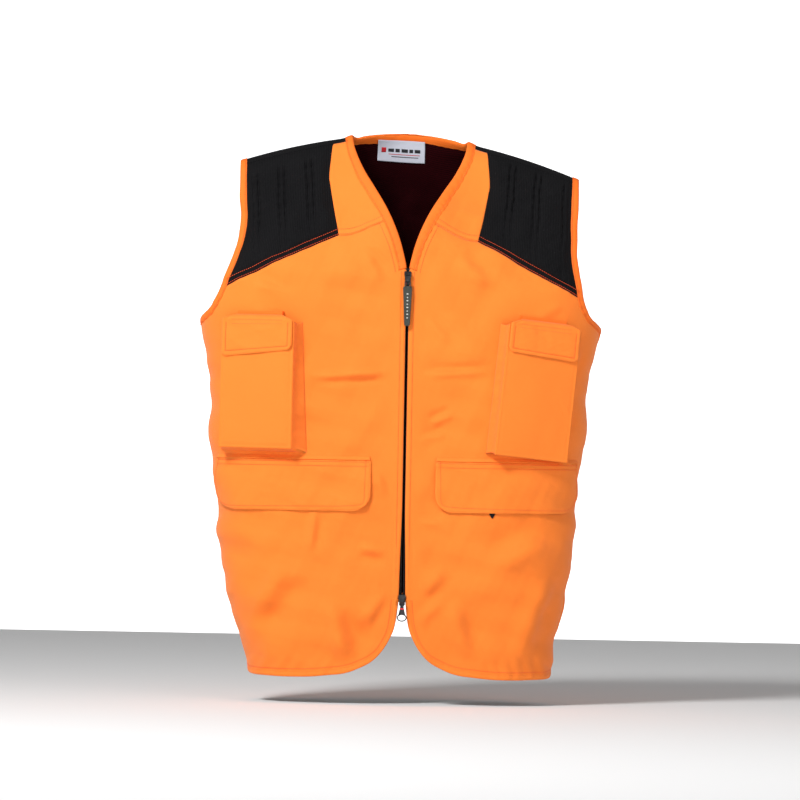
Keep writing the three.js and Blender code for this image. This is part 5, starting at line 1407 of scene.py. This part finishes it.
def pouch_piece(side, matrix):
    """A bellows pocket: a soft face, gussets that fold once, and a foot sewn to the panel."""
    half, length = POUCH_WIDTH / 2, POUCH_LENGTH[side]
    gusset = np.linspace(1, 0, 15)[:-1]
    face_x = np.linspace(-half, half, 52)
    face_z = np.linspace(-POUCH_MOUTH, -length, 84)
    a_in = np.concatenate([gusset, np.zeros(len(face_x)), np.zeros(len(gusset))])
    a_out = np.concatenate([np.zeros(len(gusset) + len(face_x)), gusset[::-1]])
    xs = np.concatenate([np.full(len(gusset), -half), face_x, np.full(len(gusset), half)])
    b = np.concatenate([np.zeros(len(face_z)), gusset[::-1]])
    zs = np.concatenate([face_z, np.full(len(gusset), -length)])
    X, Z = np.meshgrid(xs, zs)
    A_in, B = np.meshgrid(a_in, b)
    A_out, _ = np.meshgrid(a_out, b)
    down = np.clip((-Z - POUCH_MOUTH) / (length - POUCH_MOUTH), 0, 1)
    spread_in = 8 + (POUCH_SPREAD[side] - 8) * down
    share = np.clip(np.maximum(np.maximum(A_in, A_out), B), 0, 1)
    # the face swells in its middle and keeps crisp sewn edges
    u, v = X / half, 2 * down - 1
    crown = 2.6 * np.clip(1 - u**2, 0, 1) ** 0.7 * np.clip(1 - v**4, 0, 1)
    seed = 50 if side == "left" else 60
    soft = 0.75 * waves(X, Z, seed, 7, 95) + 0.12 * waves(X, Z, seed + 1, 7, 30)
    edge = np.minimum(half - np.abs(X), np.minimum(length + Z, 40))
    ridge = 0.55 * bump((edge - 0.6) / 1.6) - 0.45 * bump((edge - 3.4) / 2.4)
    N_face = POUCH_DEPTH + (crown + soft * ease(edge / 10) + ridge) * (share == 0)
    face = to_world(matrix, np.stack([X, N_face, Z], -1))
    foot_local = np.stack([
        X - spread_in * (A_in > 0) + 1.0 * (A_out > 0),
        np.full_like(X, -4.0),
        Z - POUCH_DROP[side] * (B > 0) - 2.0 * (B > 0),
    ], -1)
    foot = onto_cloth(to_world(matrix, foot_local), 0.35)
    # from the face to its foot the gusset folds inward once and gathers a little
    t = share[..., None]
    fold = np.sin(math.pi * share) ** 1.5
    inward = to_world(matrix, [0, 0, -length / 2]) - face
    inward[..., 1] = 0
    inward = unit(inward)
    gather = 0.5 * waves(Z, X, seed + 3, 6, 13)
    mid_in = (2.6 if side == "right" else 1.6) * fold + gather * np.sin(math.pi * share)
    surface = face * (1 - t) + foot * t + inward * mid_in[..., None]
    inner = surface + unit(to_world(matrix, [0, -1, 0]) - matrix[:3, 3]) * 0.9
    inner = inner + inward * (0.9 * np.minimum(share * 3, 1))[..., None]
    uv = np.stack([X - 14 * A_in + 12 * A_out, Z - 12 * B], -1) + [300 * SIDES[side], 0]
    piece = sheet_piece(f"bellows_pocket_{side}", surface, inner, "vest", ORANGE, uv)
    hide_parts(f"chest_pocket_{side}")


def flap_surface(side, v, u):
    """Local points of a chest flap, v from its seam to its lower edge and u from inner to outer."""
    back = POUCH_DEPTH + FLAP_ROOM
    drop = np.clip(v / 0.16, 0, 1)
    half = FLAP_SEAM / 2 + (FLAP_WIDTH - FLAP_SEAM) / 2 * ease(drop * 0.5 + 0.02) * 2
    half = np.minimum(half, FLAP_WIDTH / 2)
    x = u * half
    n = 0.3 + (back + 0.4) * np.sin(drop * math.pi / 2)
    fold_z = -FLAP_FOLD * (1 - np.cos(drop * math.pi / 2))
    end = -(FLAP_INNER[side] + (FLAP_OUTER[side] - FLAP_INNER[side]) * (u + 1) / 2)
    corner = FLAP_CUT * np.clip((np.abs(u) - 0.86) / 0.14, 0, 1) ** 2
    below = np.clip((v - 0.16) / 0.84, 0, 1)
    z = fold_z + (end + corner + FLAP_FOLD) * below
    return x, n, z, below


def flap_piece(side, matrix):
    seed = 70 if side == "left" else 80
    v, u = np.meshgrid(np.linspace(0, 1, 64), np.linspace(-1, 1, 84), indexing="ij")
    x, n, z, below = flap_surface(side, v, u)
    rest = 0.55 * waves(x, z, seed, 7, 42) * ease(below / 0.25) + 0.2 * waves(x, z, seed + 1, 7, 13)
    # the lower edge stands off a little, and a topstitch draws the cloth in round the border
    rim = np.minimum((1 - np.abs(u)) * FLAP_WIDTH / 2, (1 - below) * 46)
    stitch = -0.5 * bump((rim - 6) / 1.5) + 0.25 * bump((rim - 3) / 3)
    lift = 1.2 * below**3 * (0.6 + 0.4 * np.cos(3 * u))
    swell = 0.9 * (1 - u**2) * np.sin(math.pi * np.clip(below, 0, 1))
    n = n + rest + stitch + lift + swell
    round_edge = rounded(*n.shape, 1.0, 1.6)
    outer = to_world(matrix, np.stack([x, n + FLAP_CLOTH * 0.75 * round_edge, z], -1))
    inner = to_world(matrix, np.stack([x, n - 0.2 * round_edge, z], -1))
    uv = np.stack([x, z], -1) + [500 * SIDES[side], 0]
    body = f"chest_flap_{side}"
    piece = sheet_piece(f"chest_flap_cloth_{side}", outer, inner, body, ORANGE, uv)
    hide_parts(f"chest_flap_{side}")

    def on_flap(vv, uu):
        px, pn, pz, pb = flap_surface(side, vv, uu)
        pr = 0.55 * waves(px, pz, seed, 7, 42) * ease(pb / 0.25) + 0.2 * waves(px, pz, seed + 1, 7, 13)
        pl = 1.2 * pb**3 * (0.6 + 0.4 * np.cos(3 * uu))
        pl = pl + 0.9 * (1 - uu**2) * np.sin(math.pi * np.clip(pb, 0, 1))
        points = to_world(matrix, np.stack([px, pn + pr + pl + FLAP_CLOTH * 0.75 - 0.3, pz], -1))
        ups = np.repeat((to_world(matrix, [0, 1, 0]) - matrix[:3, 3])[None], len(points), 0)
        return points, ups

    rows = []
    border_u = 1 - 6 / (FLAP_WIDTH / 2)
    low_v = 0.16 + 0.84 * (1 - 6 / 46)
    route = [
        (np.linspace(0.24, low_v, 40), np.full(40, -border_u)),
        (np.full(60, low_v), np.linspace(-border_u, border_u, 60)),
        (np.linspace(low_v, 0.24, 40), np.full(40, border_u)),
    ]
    for vv, uu in route:
        rows += stitches(*on_flap(vv, uu))
    for level in (0.17, 0.27):
        rows += stitches(*on_flap(np.full(60, level), np.linspace(-0.72, 0.72, 60)))
    parts_piece(f"chest_flap_stitches_{side}", rows, body, ORANGE_THREAD)


pocket_frames = {side: pocket_frame(side) for side in SIDES}
for side in SIDES:
    matrix = pocket_frames[side]
    pouch_piece(side, matrix)
    flap_piece(side, matrix)
    dressed(f"chest_flap_seam_{side}", ORANGE_TAPE)
    dressed(f"chest_loop_patch_{side}", HOOK_TAPE)
    dressed(f"chest_hook_patch_{side}", HOOK_TAPE)

# ---------------------------------------------------------------- lower pockets
flap_end_z = FLAP_TOP_Z - FLAP_LENGTH
arc_z = flap_end_z + FLAP_CORNER


def arc(cx, start, end, steps=16):
    angles = np.radians(np.linspace(start, end, steps))
    return spot(cx + FLAP_CORNER * np.cos(angles), arc_z + FLAP_CORNER * np.sin(angles))


def level_line(x0, x1, z, steps=60):
    return spot(np.linspace(x0, x1, steps), np.full(steps, float(z)))


inner_arc = arc(FLAP_IN + FLAP_CORNER, 225, 180)
outer_arc = arc(FLAP_OUT - FLAP_CORNER, 315, 360)
flap_low = joined(
    (arc(FLAP_IN + FLAP_CORNER, 225, 270), 8),
    (level_line(FLAP_IN + FLAP_CORNER, FLAP_OUT - FLAP_CORNER, flap_end_z), 84),
    (arc(FLAP_OUT - FLAP_CORNER, 270, 315), 8),
)
flap_start = FLAP_TOP_Z - 0.3
flap_left = joined((inner_arc, 8), (np.array([inner_arc[-1], spot(FLAP_IN, flap_start)]), 20))
flap_right = joined((outer_arc, 8), (np.array([outer_arc[-1], spot(FLAP_OUT, flap_start)]), 20))
lower_flap_grid = between(flap_low, level_line(FLAP_IN, FLAP_OUT, flap_start), flap_left, flap_right, 110, 34)


def lower_flap_offset(grid, side):
    """How far a lower flap stands out: it hangs free below its seam, and its inner corner lifts."""
    p = place(grid[..., 0], grid[..., 1])
    x, z = np.abs(p[..., 0]), p[..., 2]
    down = np.clip((FLAP_TOP_Z - z) / FLAP_LENGTH, 0, 1)
    seed = 90 if side == "left" else 95
    inner_lift = (3.2 if side == "right" else 2.2) * ease((86 - x) / 46) * down**1.3
    drape = 0.8 * waves(x, z, seed, 7, 60) * down + 0.25 * waves(x, z, seed + 1, 7, 16) * down
    return 3.4 + 0.9 * np.sin(math.pi * down) + 0.5 * down + inner_lift + np.maximum(drape, -1.2)


def inset(line_grid, rows_in, columns_in):
    """The line round a flap that many cells in from its sides and its lower edge, from top to top."""
    g = line_grid
    left = g[::-1, columns_in][: g.shape[0] - rows_in]
    low = g[rows_in, columns_in : g.shape[1] - columns_in]
    right = g[rows_in:, g.shape[1] - 1 - columns_in]
    return np.concatenate([left[:-1], low, right[1:]])


for side in SIDES:
    grid = sided(lower_flap_grid, side)
    offset = lower_flap_offset(grid, side)
    border = rounded(*offset.shape, 1.8, 1.9)
    p = place(grid[..., 0], grid[..., 1])
    drop = FLAP_TOP_Z - p[..., 2]
    draw = -0.55 * bump((drop - FLAP_ROWS[0]) / 1.6) - 0.4 * bump((drop - FLAP_ROWS[1]) / 1.5)
    top = skin(grid, offset + 1.3 * border + draw)
    low = skin(grid, offset - 0.1 * border)
    body = f"lower_flap_{side}"
    flap = sheet_piece(f"lower_flap_cloth_{side}", top, low, body, ORANGE, grid)
    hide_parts(f"lower_flap_{side}")
    line = inset(grid, 4, 4)
    fine = even(line, 150)
    flat_offset = (offset + 1.3).reshape(-1)[nearest(grid, fine)] - 0.1
    rows = stitches(skin(fine, flat_offset), outward(fine[:, 0], fine[:, 1]))
    for drop_at in FLAP_ROWS[::-1]:
        line = sided(level_line(FLAP_IN + 2, FLAP_OUT - 3, FLAP_TOP_Z - drop_at - 1, 120), side)
        row_offset = (offset + 1.3 + draw).reshape(-1)[nearest(grid, line)]
        rows += stitches(skin(line, row_offset), outward(line[:, 0], line[:, 1]))
    parts_piece(f"lower_flap_stitches_{side}", rows, f"lower_flap_{side}", ORANGE_THREAD)

    # the sewn edge that the flap hangs from, a folded strip on the panel
    strip = between(
        level_line(FLAP_IN + 1, FLAP_OUT - 1, FLAP_TOP_Z + 0.1),
        level_line(FLAP_IN + 1, FLAP_OUT - 1, FLAP_TOP_Z + 5),
        level_line(FLAP_IN + 1, FLAP_IN + 1, FLAP_TOP_Z - 0.2, 2) + np.array([[0, 0], [0, 5.2]]),
        level_line(FLAP_OUT - 1, FLAP_OUT - 1, FLAP_TOP_Z - 0.2, 2) + np.array([[0, 0], [0, 5.2]]),
        100, 6,
    )
    strip = sided(strip, side)
    rise = 1.35 + 3.0 * (1 - ease(np.linspace(0, 1, 7)))[:, None] + 0 * strip[..., 0]
    cloth_piece(
        f"lower_flap_fold_{side}", strip, rise + 0.3, np.minimum(rise - 0.5, 1.3),
        "vest", "orange_cloth", ORANGE, [f"lower_flap_seam_{side}"],
    )
    for end in ("inner", "outer"):
        for kind, owner in (("loop", "vest"), ("hook", f"lower_flap_{side}")):
            node = f"lower_{kind}_{end}_{side}"
            x0 = 78 if end == "inner" else 178
            patch = between(
                level_line(x0, x0 + 30, flap_end_z + 10, 12), level_line(x0, x0 + 30, flap_end_z + 26, 12),
                spot([x0, x0], [flap_end_z + 10, flap_end_z + 26]),
                spot([x0 + 30, x0 + 30], [flap_end_z + 10, flap_end_z + 26]), 24, 14,
            )
            patch = sided(patch, side)
            if kind == "loop":
                levels = (CLOTH + 0.75, CLOTH + 0.05)
            else:
                base = lower_flap_offset(patch, side)
                levels = (base - 0.05, base - 0.75)
            cloth_piece(node + "_tape", patch, *levels, owner, "orange_cloth", HOOK_TAPE, [node])

    # the inside pocket behind the panel, a flat black bag that sags at its foot
    rows_z = np.linspace(BAG_FOOT_Z, FLAP_TOP_Z - 2, 60)
    bag_grid = np.stack([level_line(BAG_IN, BAG_OUT, z, 50) for z in rows_z])
    bag_grid = sided(bag_grid, side)
    t = np.linspace(0, 1, 60)[:, None]
    u = np.linspace(-1, 1, 50)[None]
    swell = np.sqrt(np.clip(1 - np.abs(u) ** 6, 0, 1)) * np.sqrt(np.clip(1 - np.abs(2 * t - 1) ** 8, 0, 1))
    back_out = -1.6 - 7.6 * swell
    below_mouth = rows_z < MOUTH_TOP_Z - MOUTH_HEIGHT - 2
    bag_walls = (
        ("front", bag_grid[below_mouth], -0.35, -1.15, []),
        ("back", bag_grid, back_out, back_out - 0.8, [f"lower_pocket_bag_{side}"]),
    )
    for wall, part, near_level, far_level, replaced in bag_walls:
        cloth_piece(
            f"pocket_bag_{wall}_{side}", part, near_level, far_level, "vest", "black_cloth", BLACK_CLOTH,
            replaced, [f"front_panel_cloth_{side}"], "hung",
        )

# The welts above and below each pocket mouth.
MOUTH_END_Z = MOUTH_TOP_Z - MOUTH_HEIGHT
WELTS = {"upper": (MOUTH_TOP_Z - 2.2, MOUTH_TOP_Z + 1.5), "lower": (MOUTH_END_Z - 2.5, MOUTH_END_Z + 1.8)}
for side in SIDES:
    for name, ends in WELTS.items():
        strip = np.stack([level_line(BAG_IN + 1, BAG_OUT - 1, z, 90) for z in np.linspace(*ends, 6)])
        strip = sided(strip, side)
        rise = CLOTH + 0.15 + 0.55 * np.sin(np.linspace(0, math.pi, 6))[:, None] + 0 * strip[..., 0]
        cloth_piece(f"mouth_welt_{name}_{side}", strip, rise, -0.2, "vest", "orange_cloth", ORANGE_TAPE)

# The black tab whose pointed end shows under the left flap.
tip_z = flap_end_z - 7
tab_z, tab_wide = zip((tip_z, 0.5), (tip_z + 3, 4.6), (tip_z + 6, 8), (MOUTH_END_Z - 3, 8))
levels = np.concatenate([np.linspace(a, b, 8)[:-1] for a, b in zip(tab_z, tab_z[1:])] + [tab_z[-1:]])
widths = np.interp(levels, tab_z, tab_wide)
tab_grid = np.stack([
    spot(122 + np.linspace(-0.5, 0.5, 7) * wide, np.full(7, z)) for z, wide in zip(levels, widths)
])
ribbon = cloth_piece(
    "pocket_tab_ribbon", tab_grid, CLOTH + 1.1, CLOTH + 0.2, "vest", "black_cloth", BLACK_CLOTH,
    ["lower_pocket_tab_left"],
)
# It is 8 mm wide; its area is worked out here and not kept. A sheet can't be declared narrower than
# 10 mm, so its area carries the true size.
grid_area(skin(tab_grid, CLOTH + 1.1)) * MM * MM

# ---------------------------------------------------------------- neck label
LABEL_WIDTH, LABEL_HEIGHT, LABEL_X = 66, 29, -12
label_top = 19 - 7
label_x = np.linspace(LABEL_X - LABEL_WIDTH / 2, LABEL_X + LABEL_WIDTH / 2, 70)
label_z = np.linspace(label_top - LABEL_HEIGHT, label_top, 34)
label_grid = np.stack([spot(label_x, np.full(70, z), False) for z in label_z])
label_in = -4 - 1.2 - 0.7


def label_curl(t, u):
    """The label's free edge stands off the lining, t from 0 at that edge."""
    return -0.5 * (1 - t) ** 2 * (1 + 0.5 * np.cos(3.1 * u)) + 0.12 * np.sin(9 * u + 4 * t)


t = np.linspace(0, 1, 34)[:, None]
u = np.linspace(-1, 1, 70)[None]
curl = label_curl(t, u)
cloth_piece(
    "neck_woven_label", label_grid, label_in + 0.55 + curl, label_in + curl,
    "neck_label", "white_label", LABEL_SATIN, ["neck_label"], ["lining_mesh_back"], "hung",
)


def label_bar(name, x0, x1, z0, z1, material):
    """A generic woven mark on the label's inner face."""
    xs, zs = np.linspace(x0, x1, 14), np.linspace(z0, z1, 5)
    grid = np.stack([spot(LABEL_X + xs, np.full(14, label_top + z), False) for z in zs])
    tt = np.clip((zs + LABEL_HEIGHT) / LABEL_HEIGHT, 0, 1)[:, None]
    uu = (xs / (LABEL_WIDTH / 2))[None]
    rise = label_in + label_curl(tt, uu)
    return cloth_piece(name, grid, rise + 0.02, rise - 0.14, "neck_label", "white_label", material)


# Seen from the front, the label's left is the wearer's right.
label_bar("label_mark_emblem", -28, -21.5, -17, -10, LABEL_RED)
for k, (start, wide) in enumerate([(-18.5, 8), (-8.5, 6), (0, 9), (11, 5.5), (18.5, 8)]):
    label_bar(f"label_mark_bar_{k}", start, start + wide, -16, -11.5, LABEL_MARK)
label_bar("label_mark_rule", -18, 26, -19.4, -18.6, LABEL_RED)
label_bar("label_mark_line", -14, 24, -22.6, -21.6, LABEL_MARK)

# ---------------------------------------------------------------- stitching on the vest
rows = []
for side in SIDES:
    fine_zip = spot(np.full(160, 8.6), np.linspace(ZIP_BOTTOM_Z + 26, ZIP_TOP_Z - 4, 160))
    rows += chart_stitches(sided(fine_zip, side), CLOTH + 0.42)
    neck_side = cut_at_seam(moved(half_neck, -13.5), False)
    rows += chart_stitches(sided(neck_side[neck_side[:, 0] > 14], side), CLOTH + 0.12)
    hem_row = moved(hem_front, 10.5)
    rows += chart_stitches(sided(hem_row[hem_row[:, 0] < SIDE_SEAM_S - 2], side), CLOTH + 0.02)
    for away in YOKE_ROWS:
        s = np.linspace(neck_bottom[0][0] + 8, arm_above[0][0] - 9, 200)
        lift_pad = np.stack([s, seam_at(s) + away], 1)
        on_neck = s <= yoke_line[1][0]
        rows += chart_stitches(sided(lift_pad[on_neck], side), CLOTH + 0.05)
        rows += chart_stitches(sided(lift_pad[~on_neck], side), 2.7 if away > 5 else 1.8)
for away in BACK_ROWS:
    seam = both_halves(back_seam_half[back_seam_half[:, 0] < back_seam_end[0] - 9])
    rows += chart_stitches(seam - [0, away], 1.3)
parts_piece("panel_topstitching", rows, "vest", ORANGE_THREAD)

edge_rows = chart_stitches(moved(neck_route, -BINDING_ROW), 1.65, pitch=3.2)
for side in SIDES:
    for face, way in (("front", -1), ("back", 1)):
        line = moved(even(arm_lines[face], 130), way * BINDING_ROW)
        edge_rows += chart_stitches(sided(line, side), 1.65, pitch=3.2)
parts_piece("binding_stitching", edge_rows, "vest", ORANGE_THREAD)

# ---------------------------------------------------------------- floor, light and camera
FLOOR_DROP = 0.035
white, _, white_shader = new_material("pale_floor", 0.9, specular=0.1)
white_shader.inputs["Base Color"].default_value = (0.85, 0.85, 0.85, 1)
bpy.ops.mesh.primitive_plane_add(size=5, location=(0, 0, cad_low.z - FLOOR_DROP))
floor = bpy.context.object
floor.name = "pale_floor"
floor.data.materials.append(white)
glow, _, glow_shader = new_material("white_backdrop", 0.9, specular=0.0)
glow_shader.inputs["Base Color"].default_value = (1, 1, 1, 1)
glow_shader.inputs["Emission Color"].default_value = (1, 1, 1, 1)
glow_shader.inputs["Emission Strength"].default_value = 0.95
bpy.ops.mesh.primitive_cylinder_add(
    vertices=96, radius=14, depth=5, end_fill_type="NOTHING", location=(0, 0, cad_low.z - FLOOR_DROP)
)
backdrop = bpy.context.object
backdrop.name = "white_backdrop"
backdrop.data.materials.append(glow)

world = bpy.data.worlds.new("studio")
bpy.context.scene.world = world
world.use_nodes = True
world.node_tree.nodes["Background"].inputs["Color"].default_value = (1, 1, 1, 1)
world.node_tree.nodes["Background"].inputs["Strength"].default_value = 0.26


def area_light(name, location, target, size, power):
    data = bpy.data.lights.new(name, "AREA")
    data.shape = "RECTANGLE"
    data.size, data.size_y = size
    data.energy = power
    lamp = bpy.data.objects.new(name, data)
    bpy.context.scene.collection.objects.link(lamp)
    lamp.location = location
    lamp.rotation_mode = "QUATERNION"
    lamp.rotation_quaternion = (Vector(target) - Vector(location)).to_track_quat("-Z", "Y")


middle = (cad_low + cad_high) / 2
area_light("key", (-1.3, -2.1, 1.7), (middle.x, middle.y, middle.z + 0.1), (0.7, 0.7), 91)
area_light("fill", (1.6, -2.4, 0.2), middle, (1.4, 1.4), 9)

MM_ACROSS = 1.33 * 800  # the view's width at the vest's front
LENS, SENSOR = 300.0, 36.0
VIEW_X, VIEW_Z = -7.5, -339.3
ROLL = math.radians(-1.04)
camera_data = bpy.data.cameras.new("camera")
camera_data.lens = LENS
camera_data.sensor_width = SENSOR
camera = bpy.data.objects.new("camera", camera_data)
bpy.context.scene.collection.objects.link(camera)
distance = MM_ACROSS * MM * LENS / SENSOR
camera.location = (VIEW_X * MM, FRONT_Y * MM - distance, VIEW_Z * MM)
camera.rotation_mode = "XYZ"
camera.rotation_euler = (math.pi / 2, ROLL, 0)
bpy.context.scene.camera = camera
bpy.context.scene.view_settings.view_transform = "Standard"
bpy.context.scene.view_settings.look = "None"
